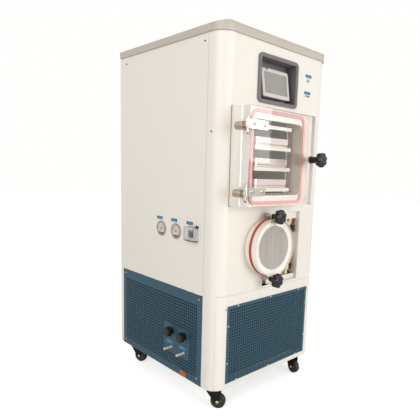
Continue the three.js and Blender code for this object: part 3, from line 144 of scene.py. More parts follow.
def vary_roughness(tree, shader, source, low, high):
    spread = add(tree, "MapRange", {"Value": source, "To Min": low, "To Max": high})
    tree.links.new(spread.outputs[0], shader.inputs["Roughness"])


def relief(tree, shader, height, strength, depth):
    bump = add(tree, "Bump", {"Height": height, "Strength": strength, "Distance": depth})
    tree.links.new(bump.outputs[0], shader.inputs["Normal"])


def two_tone(name, slot, first, second, scale, roughness, detail=None, kind="Noise", colour_from=0,
             stretch=None, bump=None, uniform=None):
    """A material whose colour drifts between two tones. A pair of roughnesses drifts with them,
    and bump gives the strength and depth of the same pattern's relief."""
    made, tree, shader, _ = new_material(name, slot, uniform)
    texture = pattern(tree, kind, scale, detail, stretch)
    tones = {"Color1": linear(first), "Color2": linear(second)}
    tone = add(tree, "MixRGB", {"Fac": texture.outputs[colour_from], **tones})
    tree.links.new(tone.outputs[0], shader.inputs["Base Color"])
    if isinstance(roughness, tuple):
        vary_roughness(tree, shader, texture.outputs[0], *roughness)
    else:
        shader.inputs["Roughness"].default_value = roughness
    if bump:
        relief(tree, shader, texture.outputs[0], *bump)
    return made


scene.world = bpy.data.worlds.new("studio")
scene.world.use_nodes = True
sky = scene.world.node_tree
sky.nodes.clear()
path = add(sky, "LightPath")
seen = path.outputs["Is Camera Ray"]
for other_ray in ("Is Glossy Ray", "Is Transmission Ray"):
    seen = add(sky, "Math", {0: seen, 1: path.outputs[other_ray]}, operation="MAXIMUM").outputs[0]
level = add(sky, "MapRange", {"Value": seen, "To Min": 0.55, "To Max": 1.0})
white = add(sky, "Background", {"Color": (1, 0.995, 0.985, 1), "Strength": level.outputs[0]})
add(sky, "OutputWorld", {"Surface": white.outputs[0]})

# Matt white floor paint, lifted a little for the eye so that it runs into the surround.
floor_paint = two_tone("matt_white_floor", None, "#f4f3f0", "#efeeeb", 3.0, 0.9, 3.0)
tree = floor_paint.node_tree
lit = add(tree, "Emission", {"Color": (1, 1, 0.995, 1), "Strength": 0.62})
glow = add(tree, "MixShader", {0: add(tree, "LightPath").outputs["Is Camera Ray"], 2: lit.outputs[0]})
both = add(tree, "AddShader", {0: tree.nodes["Principled BSDF"].outputs[0], 1: glow.outputs[0]})
tree.links.new(both.outputs[0], tree.nodes["Material Output"].inputs["Surface"])


def stage_sheet(name, corners, material):
    """A flat four-cornered part of the studio."""
    mesh = bpy.data.meshes.new(name)
    mesh.from_pydata(corners, [], [(0, 1, 2, 3)])
    mesh.materials.append(material)
    made = bpy.data.objects.new(name, mesh)
    scene.collection.objects.link(made)
    return made


FLOOR = 14  # metres from the middle to an edge
corners = [(-FLOOR, -FLOOR, 0), (FLOOR, -FLOOR, 0), (FLOOR, FLOOR, 0), (-FLOOR, FLOOR, 0)]
stage_sheet("floor", corners, floor_paint)


def soft_lamp(name, where, aim, size, watts, tint):
    lamp = bpy.data.lights.new(name, "AREA")
    lamp.shape = "DISK"
    lamp.size = size
    lamp.energy = watts
    lamp.color = tint
    holder = bpy.data.objects.new(name, lamp)
    scene.collection.objects.link(holder)
    holder.location = where
    holder.rotation_euler = (Vector(aim) - Vector(where)).to_track_quat("-Z", "Y").to_euler()


soft_lamp("key", (0.7, -5.0, 1.5), (0, 0, 0.9), 2.4, 94, (1, 0.98, 0.95))
# The window stands off to the right and makes the pale patch on the left of the clear door.
glare, tree, shader, output = new_material("bright_window", None)
pane_light = add(tree, "Emission", {"Color": (1, 0.97, 0.95, 1), "Strength": 5.5})
tree.links.new(pane_light.outputs[0], output.inputs["Surface"])
card = [spot(x, -2117, z) for x, z in ((1387, 1082), (1712, 1082), (1700, 1640), (1387, 1640))]
window_card = stage_sheet("bright_window", card, glare)
for sight in ("camera", "diffuse", "transmission", "volume_scatter", "shadow"):
    setattr(window_card, "visible_" + sight, False)
soft_lamp("fill", (-3.8, -1.2, 2.2), (0, 0, 0.8), 2.8, 52, (1, 0.955, 0.925))

# ---------- welded inner frame ----------
# Folded and welded zinc-plated steel: a base tray, two decks and four corner posts that carry
# every panel and vessel. It shows only through the grilles and beside the cold trap.


def piece(name, bm, material, body="cabinet", *stands_for, angle=35):
    """Keeps a finished mesh as a piece on its body, in place of the solids it stands for."""
    mesh = bpy.data.meshes.new(name)
    bm.normal_update()
    bm.to_mesh(mesh)
    bm.free()
    mesh.shade_smooth()
    mesh.set_sharp_from_angle(angle=radians(angle))
    made = bpy.data.objects.new(name, mesh)
    scene.collection.objects.link(made)
    mesh.materials.append(material)
    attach(made, body)
    if stands_for:
        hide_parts(*stands_for)
    flat = made.modifiers.new("flat_faces_stay_flat", "WEIGHTED_NORMAL")
    flat.keep_sharp = True
    return made


def with_bevel(bm, size, segments=2, angle=1.0):
    """Rounds the edges that turn more than `angle` radians by `size` mm."""
    rim = [e for e in bm.edges if len(e.link_faces) == 2 and e.calc_face_angle(0) > angle]
    bmesh.ops.bevel(
        bm, geom=rim, offset=size / 1000, segments=segments, profile=0.5,
        affect="EDGES", clamp_overlap=True,
    )
    return bm


def solid_piece(node, material, body, edge, segments=2, angle=30):
    """The solid's own surface with its sharp edges broken by `edge` mm."""
    bm = bmesh.new()
    bm.from_mesh(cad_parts[node].data)
    bmesh.ops.remove_doubles(bm, verts=bm.verts, dist=1e-6)
    bmesh.ops.dissolve_limit(
        bm, angle_limit=radians(0.4), verts=bm.verts, edges=bm.edges,
    )
    with_bevel(bm, edge, segments, radians(angle))
    return piece(node + "_worked", bm, material, body, node, angle=40)


# Zinc plate: cool grey with the faint cloudy spangle of passivated sheet, about 15 mm across.
zinc_plate = two_tone(
    "zinc_plated_steel", "frame_steel", "#7d8388", "#959b9f", 66.0, (0.42, 0.55),
    kind="Voronoi", colour_from="Color", uniform={"Metallic": 0.85},
)
solid_piece("chassis", zinc_plate, "cabinet", 0.8, 1)

# ---------- cabinet sheets ----------
# Folded steel sheet, powder coated in warm white: a front shell bent round both front corners,
# side panels screwed over it, and a back panel that returns round the rear corners.


def shaded(tree, shader, code, source, low, high):
    """One colour that a texture darkens or lightens a little."""
    shade = add(tree, "MapRange", {"Value": source, "To Min": low, "To Max": high})
    inputs = {"Fac": 1.0, "Color1": linear(code), "Color2": shade.outputs[0]}
    tone = add(tree, "MixRGB", inputs, blend_type="MULTIPLY")
    tree.links.new(tone.outputs[0], shader.inputs["Base Color"])


def powder_coat(name, slot, code, roughness):
    """An even satin skin with a soft orange peel. Its real 1 to 2 mm ripple is too fine to show,
    so it is drawn 5 mm wide."""
    made, tree, shader, _ = new_material(name, slot, {"IOR": 1.5})
    drift = pattern(tree, "Noise", 2.4, 3.0).outputs[0]
    shaded(tree, shader, code, drift, 0.975, 1.0)
    vary_roughness(tree, shader, drift, roughness - 0.04, roughness + 0.05)
    relief(tree, shader, pattern(tree, "Noise", 200.0, 1.0).outputs[0], 0.06, 0.0004)
    return made


# Warm white powder coat: clean, creamy, with a satin sheen.
white_coat = powder_coat("warm_white_powder_coat", "white_paint", "#efebe3", 0.4)
for node, edge in (
    ("front_shell", 0.7), ("left_side_panel", 0.9), ("right_side_panel", 0.9), ("back_panel", 0.9),
    ("lower_front_cover", 0.7),
):
    solid_piece(node, white_coat, "cabinet", edge)

# ---------- roof cap ----------
# A lid pressed from thicker sheet and sprayed in pale grey, with a hipped roof that sheds liquid.
# It hooks over the cabinet with a small overhang at the front and sides.
cap_coat = powder_coat("pale_grey_powder_coat", "cap_paint", "#c3bbb0", 0.42)
solid_piece("top_cap", cap_coat, "cabinet", 2.2, 3, 12)

# ---------- perforated grilles ----------
# Steel plates punched with short slots that alternate upright and level, painted petrol blue
# and screwed over the machine bay. Pitch about 13 mm.
SLOT_LONG, SLOT_SHORT = 0.88, 0.46  # shares of the pitch


def vertex(bm, axes, origin, u, v, w):
    """A vertex at (u, v, w) mm along the axes from the origin."""
    return bm.verts.new(origin + (axes[0] * u + axes[1] * v + axes[2] * w) / 1000)


def loft(bm, rings):
    """Joins each ring of vertices to the next one; a ring of one vertex is a pole."""
    for low, high in zip(rings, rings[1:]):
        count = max(len(low), len(high))
        for i in range(count):
            j = (i + 1) % count
            sides = (low[i % len(low)], low[j % len(low)], high[j % len(high)], high[i % len(high)])
            distinct = list(dict.fromkeys(sides))
            if len(distinct) > 2:
                bm.faces.new(distinct)
    return bm


def plate(outline, holes, thick, axes, origin, bm=None):
    """A flat sheet with holes. Outline points are (across, upwards) in mm from the origin, which
    lies on the sheet's front face; the sheet goes `thick` mm inwards."""
    bm = bm or bmesh.new()
    loops = [outline, *holes]
    faces = tessellate_polygon([[Vector((u, v, 0)) for u, v in loop] for loop in loops])
    front, rear = (
        [vertex(bm, axes, origin, u, v, depth) for loop in loops for u, v in loop]
        for depth in (0, -thick)
    )
    for a, b, c in faces:
        bm.faces.new((front[a], front[b], front[c]))
        bm.faces.new((rear[c], rear[b], rear[a]))
    start = 0
    for loop in loops:
        end = start + len(loop)
        loft(bm, [front[start:end], rear[start:end]])
        start = end
    return bm


def perforated(sheet, field, columns, rows, axes, origin, thick, notch=(), plain=None):
    """A plate with a field of slots, level and upright by turns: one cell of sheet round each
    slot, and whole cells in the plain part. Each area is (left, right, low, high) in mm."""
    u0, u1, v0, v1 = sheet
    f0, f1, g0, g1 = field
    du, dv = (f1 - f0) / columns, (g1 - g0) / rows
    edge = [(f0 + i * du, g0) for i in range(columns)] + [(f1, g0 + i * dv) for i in range(rows)]
    edge += [(f1 - i * du, g1) for i in range(columns)] + [(f0, g1 - i * dv) for i in range(rows)]
    bm = plate([(u0, v0), *notch, (u1, v0), (u1, v1), (u0, v1)], [edge], thick, axes, origin)
    taken = {}

    def corner(u, v, depth):
        key = (round(u, 3), round(v, 3), depth)
        if key not in taken:
            taken[key] = vertex(bm, axes, origin, u, v, depth)
        return taken[key]

    def around(cu, cv, w, h):
        return [(cu - w, cv - h), (cu + w, cv - h), (cu + w, cv + h), (cu - w, cv + h)]

    for row in range(rows):
        for column in range(columns):
            cu, cv = f0 + du * (column + 0.5), g0 + dv * (row + 0.5)
            outer = around(cu, cv, du / 2, dv / 2)
            if plain and plain[0] < cu < plain[1] and plain[2] < cv < plain[3]:
                bm.faces.new([corner(u, v, 0) for u, v in outer])
                bm.faces.new([corner(u, v, -thick) for u, v in reversed(outer)])
                continue
            level = (row + column) % 2
            across, upwards = (SLOT_LONG, SLOT_SHORT) if level else (SLOT_SHORT, SLOT_LONG)
            inner = around(cu, cv, du * across / 2, dv * upwards / 2)
            for i in range(4):
                a, b, c, d = outer[i], outer[(i + 1) % 4], inner[(i + 1) % 4], inner[i]
                bm.faces.new([corner(*p, 0) for p in (a, b, c, d)])
                bm.faces.new([corner(*p, -thick) for p in (d, c, b, a)])
                bm.faces.new([corner(*d, 0), corner(*c, 0), corner(*c, -thick), corner(*d, -thick)])
    bmesh.ops.remove_doubles(bm, verts=bm.verts, dist=1e-6)
    bmesh.ops.recalc_face_normals(bm, faces=bm.faces)
    return bm


# Petrol blue powder coat: deep grey-blue, with less sheen than the white.
blue_coat = powder_coat("petrol_blue_powder_coat", "blue_mesh", "#2b5264", 0.45)
GRILLE_LOW, GRILLE_HIGH = 100.3, 489
PORT_ACROSS, PORT_RADIUS = 163, 24
port_notch = [
    (PORT_ACROSS - PORT_RADIUS * cos(a), GRILLE_LOW + PORT_RADIUS * sin(a))
    for a in (radians(15 * i) for i in range(13))
]
VALVE_FIELD = (18, 202, 180, 320)
bm = perforated(
    (-261, 261, 123, 453), (-247, 247, 130, 442), 38, 24, FRONT_FACING, spot(0, FRONT - 1.8, 0), 1.5,
)
piece("front_grille_punched", bm, blue_coat, "cabinet", "front_grille", angle=20)
bm = perforated(
    (-338.7, -SEAM_Y, GRILLE_LOW, GRILLE_HIGH), (-309, 254, 130, 447), 43, 24, LEFT_FACING,
    left_spot(0, 0), 2, port_notch, VALVE_FIELD,
)
piece("left_grille_punched", bm, blue_coat, "cabinet", "left_grille", angle=20)
bm = perforated(
    (SEAM_Y, 338.7, GRILLE_LOW, GRILLE_HIGH), (-254, 309, 130, 447), 43, 24, RIGHT_FACING,
    spot(HALF_WIDTH, 0, 0), 2,
)
piece("right_grille_punched", bm, blue_coat, "cabinet", "right_grille", angle=20)

# ---------- panel screws ----------
# Pan-head screws with a cross recess hold every panel and grille: bright zinc on the grilles and
# the back, blackened on the front and the sides. A greyed strip at each corner joint is painted
# shade of the seam.


def turned(profile, sides, origin, axis, bm=None, lobes=0, depth=0.0):
    """A turned shape from (radius, height) pairs in mm; the height runs along `axis`. A lobed
    shape has a third value at each height: its share of the lobes' depth."""
    bm = bm or bmesh.new()
    axis = Vector(axis).normalized()
    side = axis.orthogonal().normalized()
    other = axis.cross(side)
    rings = []
    for radius, height, *share in profile:
        ring = []
        for i in range(sides if radius else 1):
            a = 2 * pi * i / sides
            hollow = depth * share[0] * (1 - abs(cos(a * lobes / 2))) ** 1.4 if share else 0
            reach = (side * cos(a) + other * sin(a)) * (radius - hollow)
            ring.append(bm.verts.new(origin + (axis * height + reach) / 1000))
        rings.append(ring)
    return loft(bm, rings)


def block(bm, low, high, axes, origin):
    """Adds a box between two corners, in mm along three axes from the origin."""
    points = [
        vertex(bm, axes, origin, x, y, z)
        for x in (low[0], high[0]) for y in (low[1], high[1]) for z in (low[2], high[2])
    ]
    for face in ((0, 1, 3, 2), (4, 6, 7, 5), (0, 4, 5, 1), (2, 3, 7, 6), (0, 2, 6, 4), (1, 5, 7, 3)):
        bm.faces.new([points[i] for i in face])
    return bm


METAL = {"Metallic": 1}
# Bright zinc: near-white metal with a slight blue, smooth but not polished.
bright_zinc = two_tone(
    "bright_zinc_screws", "chrome_steel", "#c3c6c8", "#d5d6d6", 900.0, 0.3, uniform=METAL)
# Painted shade for the bottom of a recess: almost black, with a little grime.
recess_black = two_tone("shadowed_recess", "black_plastic", "#1b1b1c", "#2c2b2a", 300.0, 0.7)
# Blackened steel: dark grey-brown, dull.
blackened = two_tone(
    "blackened_screws", "chrome_steel", "#3a3430", "#544c46", 900.0, 0.45, uniform=METAL)


def screws(name, places, axes, radius, finish=bright_zinc):
    """Pan-head screws at the places on one face."""
    heads, crosses = bmesh.new(), bmesh.new()
    head = [(1, 0), (1, 0.6), (0.92, 1.5), (0.66, 2.3), (0.3, 2.7), (0, 2.8)]
    for origin in places:
        turned([(radius * share, h) for share, h in head], 16, origin, axes[2], heads)
        for w, h in ((radius * 0.5, 0.45), (0.45, radius * 0.5)):
            block(crosses, (-w, -h, 2.2), (w, h, 2.95), axes, origin)
    piece(name + "_heads", heads, finish)
    # The cross recesses are near-black painted shade.
    piece(name + "_recesses", crosses, recess_black)


SIDES = (("left", -1, LEFT_FACING), ("right", 1, RIGHT_FACING))
for tag, side, axes in SIDES:
    lower_front = (-255, 127) if tag == "left" else (-262, 127)
    for what, places, radius, finish in (
        ("panel", ((306, 1470), (-264, 1472)), 3.6, blackened),
        ("grille", ((316, 124), lower_front, (316, 470), (-262, 470)), 3.8, bright_zinc),
    ):
        at = [spot(side * HALF_WIDTH, y, z) for y, z in places]
        screws(f"{tag}_{what}_screws", at, axes, radius, finish)
screws("corner_screw", [left_spot(-312, 1139)], LEFT_FACING, 3.2, blackened)
screws("right_corner_screw", [spot(HALF_WIDTH, -312, 1139)], RIGHT_FACING, 3.2, blackened)
cover_screws = [spot(x, FRONT, 441) for x in (-268, 268)]
screws("front_cover_screws", cover_screws, FRONT_FACING, 2.6, blackened)
grille_edge = [(x, z) for z in (448, 126.5) for x in (-200, 0, 200)]
grille_edge += [(x, z) for x in (-254, 254) for z in (210, 370)]
screws("front_grille_screws", [spot(x, FRONT - 1.8, z) for x, z in grille_edge], FRONT_FACING, 3.8)
back_edge = [(x, z) for x in (-300, 0, 300) for z in (112, 1488)]
back_edge += [(x, z) for x in (-308, 308) for z in (450, 800, 1150)]
screws("back_panel_screws", [spot(x, HALF_DEPTH - 3, z) for x, z in back_edge], REAR_FACING, 4.0)
# Painted seam shade: a thin dull line, a shade darker than the paint, along each corner joint.
sealant = powder_coat("greyed_joint_sealant", "white_paint", "#bdb5ac", 0.6)
for tag, side, axes in SIDES:
    bead = bmesh.new()
    joint = spot(side * HALF_WIDTH, SEAM_Y, 0)
    block(bead, (-0.2, -0.8, 112), (0.12, 0.8, 1492), (X * side, Y, Z), joint)
    piece(f"{tag}_joint_sealant", bead, sealant)

# ---------- dark mats behind the grilles ---
# Black open-cell foam mats lie behind the grilles; their black is painted shade for the dark bay
# seen through the slots. Two galvanised retaining strips show as bright dashes through the front
# grille, and one stands upright.
# Painted shade: near-black foam that darkens what shows through the slots.
filter_foam = two_tone(
    "black_foam_painted_shade", "black_plastic", "#0b1114", "#1a2226", 400.0, 0.95, kind="Voronoi")
for tag, side, axes in SIDES:
    edge = [(side * y, z) for y, z in ((-262, 126), (316, 126), (316, 454), (-262, 454))]
    mat = plate(edge[::side], [], 3, axes, spot(side * (HALF_WIDTH - 7), 0, 0))
    piece(f"shade_mat_{tag}", mat, filter_foam)
edge = [(-250, 128), (250, 128), (250, 446), (-250, 446)]
mat = plate(edge, [], 3, FRONT_FACING, spot(0, FRONT + 8, 0))
piece("shade_mat_front", mat, filter_foam)
strips = bmesh.new()
for x0, x1, z0, z1 in ((-248, 168, 139, 153), (-248, 248, 129, 132), (184, 190, 250, 440)):
    block(strips, (x0, FRONT + 3.4, z0), (x1, FRONT + 4.8, z1), UPRIGHT, CABINET)
piece("filter_strips", strips, bright_zinc)

# ---------- touch screen in its recess ----------
# A moulded grey surround stands proud of the sheet round a deep pocket; the touch panel leans
# back in it on two arms, a light grey case round a matt display.
FINE_RELIEF = 0.0003  # metres


def moulded(name, slot, code, roughness, grain=0.12):
    """Injection-moulded plastic with a fine spark-eroded texture, drawn 2 mm wide to show."""
    made, tree, shader, _ = new_material(name, slot)
    grit = pattern(tree, "Noise", 500.0, 2.0).outputs[0]
    shaded(tree, shader, code, pattern(tree, "Noise", 14.0).outputs[0], 0.94, 1.03)
    vary_roughness(tree, shader, grit, roughness - 0.05, roughness + 0.06)
    relief(tree, shader, grit, grain, FINE_RELIEF)
    return made


def rounded(width, height, radius, cx=0.0, cy=0.0, steps=8):
    """Outline of a rounded rectangle, anticlockwise, in mm."""
    points = []
    for sx, sy, start in ((1, -1, -90), (1, 1, 0), (-1, 1, 90), (-1, -1, 180)):
        for i in range(steps + 1):
            a = radians(start + 90 * i / steps)
            points.append((
                cx + sx * (width / 2 - radius) + radius * cos(a),
                cy + sy * (height / 2 - radius) + radius * sin(a),
            ))
    return points


# Moulded plastic: an even, slightly silky grey.
grey_abs = moulded("mid_grey_abs", "grey_plastic", "#6f6b6d", 0.42)
solid_piece("screen_recess", grey_abs, "cabinet", 1.6, 3)
light_abs = moulded("light_grey_abs", "screen_plastic", "#d8d1d2", 0.4)
# Unlit display: grey liquid crystal under matt touch film, a slight warm cast.
display_film = two_tone(
    "unlit_display_film", "screen_plastic", "#918e88", "#a19e97", 24.0, 0.28, 1.0,
    uniform={"Coat Weight": 0.4, "Coat Roughness": 0.2},
)
lean = radians(9)
screen_up = Vector((0, sin(lean), cos(lean)))
screen_out = Vector((0, -cos(lean), sin(lean)))
screen_axes = (X, screen_up, screen_out)
screen_foot = spot(-15, FRONT + 3, 1298)
SCREEN_MIDDLE = 57  # mm up the leaning case
display = rounded(141, 87, 2.5, 2, 58.5, 3)
bm = plate(rounded(165, 114, 5, 0, SCREEN_MIDDLE), [display], 6, screen_axes, screen_foot)
case_back = screen_foot - screen_out * 0.0061
plate(rounded(161, 110, 5, 0, SCREEN_MIDDLE), [], 16, screen_axes, case_back, bm)
bmesh.ops.remove_doubles(bm, verts=bm.verts, dist=1e-7)
with_bevel(bm, 1.2, 2, 0.9)
block(bm, (-44.5, 112, -9), (78.5, 117, -1), screen_axes, screen_foot)
piece("touch_panel_case", bm, light_abs, "cabinet", "touch_screen")
bm = plate(display, [], 1, screen_axes, screen_foot - screen_out * 0.0022)
piece("touch_panel_display", bm, display_film)
bm = plate(rounded(12, 8, 2, -51, 113, 3), [], 2.5, screen_axes, screen_foot + screen_out * 0.0004)
piece("touch_panel_notch", bm, grey_abs)

# ---------- labels, lamp and socket on the front ----------
# Blue polyester film labels stuck to the paint. Between them a green lamp in a plated bezel and
# a small metal socket are pushed through the sheet.
# Label film: strong blue, smooth, faded a little in patches; its blank bar is paler.
label_film = two_tone(
    "blue_label_film", "dark_blue_plastic", "#0e6a92", "#177da6", 60.0, 0.35)
label_white = two_tone(
    "label_printed_bar", "dark_blue_plastic", "#5aa3c8", "#78b9d8", 260.0, 0.4)


def labels(name, places, axes, width=43, height=13):
    """Blank film labels with a faint printed bar, centred on each place."""
    film, bar = bmesh.new(), bmesh.new()
    for origin in places:
        outline = rounded(width, height, 1.5, steps=3)
        plate(outline, [], 0.5, axes, origin + axes[2] * 0.0006, film)
        outline = rounded(width * 0.66, height * 0.16, 0.8, steps=2)
        plate(outline, [], 0.2, axes, origin + axes[2] * 0.0008, bar)
    piece(name + "_film", film, label_film)
    piece(name + "_bar", bar, label_white)


labels("front_labels", [spot(187, FRONT, 1419.5), spot(184.5, FRONT, 1347.5)], FRONT_FACING)
side_labels = [left_spot(22.5, 779), left_spot(-84.5, 778.5), left_spot(-191.5, 777)]
labels("side_labels", side_labels, LEFT_FACING)

# Lamp lens: clear bright green with small facets that catch the light.
green_lens, tree, shader, _ = new_material("green_lamp_lens", "green_lens", {
    "Base Color": linear("#63d08c"), "Roughness": 0.12, "Subsurface Weight": 0.3,
    "Subsurface Radius": (0.004, 0.006, 0.004),
})
relief(tree, shader, pattern(tree, "Voronoi", 500.0).outputs[0], 0.2, 0.0004)
lamp_at = spot(184, FRONT, 1400)
lens = [(4, -14), (4, 0.3), (8, 0.3), (8, 1.6), (7.2, 2.5), (5.6, 2.6), (5.2, 4.2), (3.4, 6), (0, 6.7)]
piece("lamp_lens", turned(lens, 32, lamp_at, -Y), green_lens, "cabinet", "indicator_lamp")
bezel = [(5.9, 0.2), (8.4, 0.2), (8.4, 2.2), (7.6, 3.1), (5.9, 3.1), (5.9, 0.2)]
piece("lamp_bezel", turned(bezel, 32, lamp_at, -Y), bright_zinc)
socket_at = spot(185, FRONT, 1334)
bm = plate(rounded(17, 9, 1.5, steps=3), [], 2.4, FRONT_FACING, socket_at - Y * 0.0024)
piece("socket_shell", bm, bright_zinc)
bm = plate(rounded(12.5, 5.6, 1, steps=3), [], 0.3, FRONT_FACING, socket_at - Y * 0.0026)
for side in (-1, 1):
    turned([(0, 0), (2.6, 0), (2.2, 1.4), (0, 1.6)], 16, socket_at + X * side * 0.015, -Y, bm)
# The socket's openings are near-black painted shade.
piece("socket_mouth", bm, recess_black)

# ---------- vacuum chamber ----------
# A box welded from stainless sheet, pickled inside, with a thick square collar that stands out
# of the cabinet and carries the gasket, the hinge arms and the clamp boss.
CHAMBER_X, CHAMBER_Z, COLLAR_SHIFT = -79.5, 1048, 6.5
DUCT_Y = -120  # the duct between the chamber and the trap
chamber_at = spot(CHAMBER_X, FRONT, CHAMBER_Z)


def offset(origin, x, y, z):
    """A place so many mm from another one."""
    return origin + Vector((x, y, z)) / 1000


def steel(name, slot, light, dark, roughness, stretch=(1, 1, 1), scale=90.0, strength=0.1, metal=1.0):
    """Metal with rub marks drawn out along one axis; a pickled surface is less of a mirror."""
    return two_tone(
        name, slot, dark, light, scale, (roughness * 0.8, roughness * 1.25), 3.0,
        stretch=stretch, bump=(strength, FINE_RELIEF), uniform={"Metallic": metal},
    )


# Stainless steel: warm and pale where pickled, bright with fine marks where turned, near-white
# and even where bead-blasted.
pickled_steel = steel(
    "pickled_stainless_liner", "stainless", "#efe5da", "#dccfc3", 0.22, (1, 1, 6), 22.0, 0.04, 0.3)
satin_steel = steel("satin_stainless", "stainless", "#d5d1c8", "#bbb6ac", 0.3, (1, 8, 1), 120.0)
collar_steel = steel("bead_blasted_stainless", "stainless", "#faf7f2", "#efeae3", 0.38, scale=420.0)


def capped(bm, rings):
    """Joins the rings and closes both ends."""
    loft(bm, rings)
    bm.faces.new(list(reversed(rings[0])))
    bm.faces.new(rings[-1])
    return bm


def tub(outer, inner, foot, rim, floor):
    """A walled box open at the front. Its rear face, its rim and its floor are so many mm in
    front of the cabinet's face; both outlines have the same number of points."""
    bm = bmesh.new()
    levels = ((outer, foot), (outer, rim), (inner, rim), (inner, floor))
    return capped(bm, [
        [vertex(bm, FRONT_FACING, chamber_at, u, v, out) for u, v in points] for points, out in levels
    ])


bm = tub(rounded(302, 298, 28, steps=12), rounded(294, 290, 24, steps=12), -384, 53.2, -380)
piece("chamber_liner", bm, pickled_steel, "cabinet", "chamber")
# The end wall is painted light: a pale, non-metallic copy of the steel that stays bright in the depth of
# the chamber.
pale_blasted = steel(
    "end_wall_painted_light", "stainless", "#fffaf4", "#f7f0e8", 0.6, (1, 1, 1), 200.0, 0.05, 0.0)
bm = plate(rounded(292, 288, 23, steps=12), [], 1, FRONT_FACING, chamber_at + Y * 0.3788)
piece("chamber_end_wall", bm, pale_blasted)
collar = rounded(396, 378, 3, COLLAR_SHIFT, 0, 4)
mouth = rounded(294.4, 290.4, 24.2, steps=12)
bm = plate(collar, [mouth], 10, FRONT_FACING, chamber_at - Y * 0.054)
skirt = rounded(390, 372, 1, COLLAR_SHIFT, 0, 2)
plate(collar, [skirt], 52, FRONT_FACING, chamber_at - Y * 0.0445, bm)
piece("chamber_collar", with_bevel(bm, 0.9), collar_steel)
duct = [(45, 0), (45, -53), (42, -53), (42, 0), (45, 0)]
piece("vapour_duct", turned(duct, 40, spot(CHAMBER_X, DUCT_Y, 899), Z), satin_steel)
boss = [(6.5, 0.3), (10, 0.3), (10, -14), (6.5, -14), (6.5, 0.3)]
piece("clamp_boss", turned(boss, 28, spot(103.5, FRONT - 53.6, 1052), -Y), satin_steel)

# Hinge arms: machined steel bar with chamfered ends, whose warm grey-brown is a painted reflection
# of warm surroundings. They are welded to the collar, and each has an eye and a pin.
warm_steel = steel("steel_painted_warm_reflection", "stainless", "#cdbcab", "#a6917f", 0.34, (1, 10, 1), 60.0)
HINGES = {"upper": 113, "lower": -133}
PIN_X, PIN_Y = -205.5, -100
arms, pins, tips = bmesh.new(), bmesh.new(), bmesh.new()
arm = [(0, 46), (13.5, 46), (15, 47.5), (15, 81), (13, 84), (0, 84)]
eye = [(4.05, -8), (9, -8), (10, -7), (10, 7), (9, 8), (4.05, 8), (4.05, -8)]
tip = [(0, -28.6), (3.4, -28.6), (3.4, -31.5), (2.4, -32.6), (0, -32.8)]
pin = [(0, -28.5), (3.2, -28.5), (4, -27.7), (4, 27.7), (3.2, 28.5), (0, 28.5)]
pin_head = [(0, 28.3), (6.2, 28.3), (6.2, 30.6), (4.6, 32), (0, 32.2)]
for z in HINGES.values():
    turned(arm, 40, offset(chamber_at, -207.5, 0, z - 2), -Y, arms)
    block(arms, (-205.5, -53.4, z - 8), (-190.6, -46, z + 6), UPRIGHT, chamber_at)
    block(pins, (-211, -97, z - 7.6), (-200, -83, z + 7.6), UPRIGHT, chamber_at)
    pin_at = offset(chamber_at, PIN_X, PIN_Y, z)
    turned(eye, 36, pin_at, Z, pins)
    turned(tip, 20, pin_at, Z, tips)
    turned(pin, 24, pin_at, Z, pins)
    turned(pin_head, 24, pin_at, Z, pins)
piece("hinge_arms", arms, warm_steel)
piece("hinge_pins", pins, satin_steel)
# The pins' lower tips are near-black painted shade.
piece("hinge_pin_tips", tips, recess_black)

# ---------- chamber gasket ----------
# A ring moulded from pink silicone rubber. It lies in the collar's mouth and is squeezed between
# the collar and the clear door.
# Silicone: soft pink, matt, and slightly translucent.
pink_silicone = two_tone(
    "pink_silicone_rubber", "pink_silicone", "#cf8b8f", "#e3abab", 35.0, 0.5, 3.0,
    uniform={"Subsurface Weight": 0.15, "Subsurface Radius": (0.004, 0.002, 0.002)},
)
bm = plate(
    rounded(321, 361, 32, steps=12), [rounded(297, 335, 20, steps=12)], 5.4, FRONT_FACING,
    chamber_at - Y * 0.0597,
)
piece("chamber_seal", with_bevel(bm, 1.8, 3), pink_silicone, "cabinet", "chamber_gasket")

# ---------- shelves, rack and trays ----------
# Hollow aluminium shelves that carry the heating fluid, on a rack of four posts, with trays drawn
# from stainless sheet. Two steel rods at the right tie the rack's ends.
# Machined aluminium plate: even, fine, slightly warm sheen.
shelf_metal = steel("milled_aluminium", "shelf_metal", "#f7f5f0", "#ebe7e0", 0.33, (8, 1, 1), 80.0)
for number in range(1, 5):
    solid_piece(f"shelf_{number}", shelf_metal, "cabinet", 1.4, 3)
solid_piece("shelf_rack", satin_steel, "cabinet", 0.8)


def stacked(levels, origin):
    """A shell through rounded rectangles: each level is (width, length, radius, height) in mm."""
    bm = bmesh.new()
    return capped(bm, [
        [vertex(bm, UPRIGHT, origin, u, v, height) for u, v in rounded(width, length, radius, steps=6)]
        for width, length, radius, height in levels
    ])


tray = [
    (186, 302, 8, 0.4), (189, 305, 9, 1.2), (190, 306, 10, 8), (200, 316, 12, 11),
    (201.6, 317.6, 12.5, 31.5), (202, 318, 13, 33.4), (200.6, 316.6, 12, 34.2),
    (198.4, 314.4, 11, 33.4), (197.8, 313.8, 10.8, 31), (196.8, 312.8, 10.4, 12.4),
    (187, 303, 8.4, 9.2), (186, 302, 8, 2.6), (184, 300, 7, 2.2),
]
# Drawn sheet: pale, with long soft marks from the press.
tray_steel = steel(
    "drawn_stainless_tray", "stainless", "#f3e9e6", "#e6dad6", 0.3, (6, 1, 1), 40.0)
for number, top in enumerate((1096, 1014, 932), 1):
    bm = stacked(tray, spot(CHAMBER_X - 2, -234, top))
    piece(f"drying_tray_{number}", bm, tray_steel, "cabinet", f"tray_{number}", angle=50)


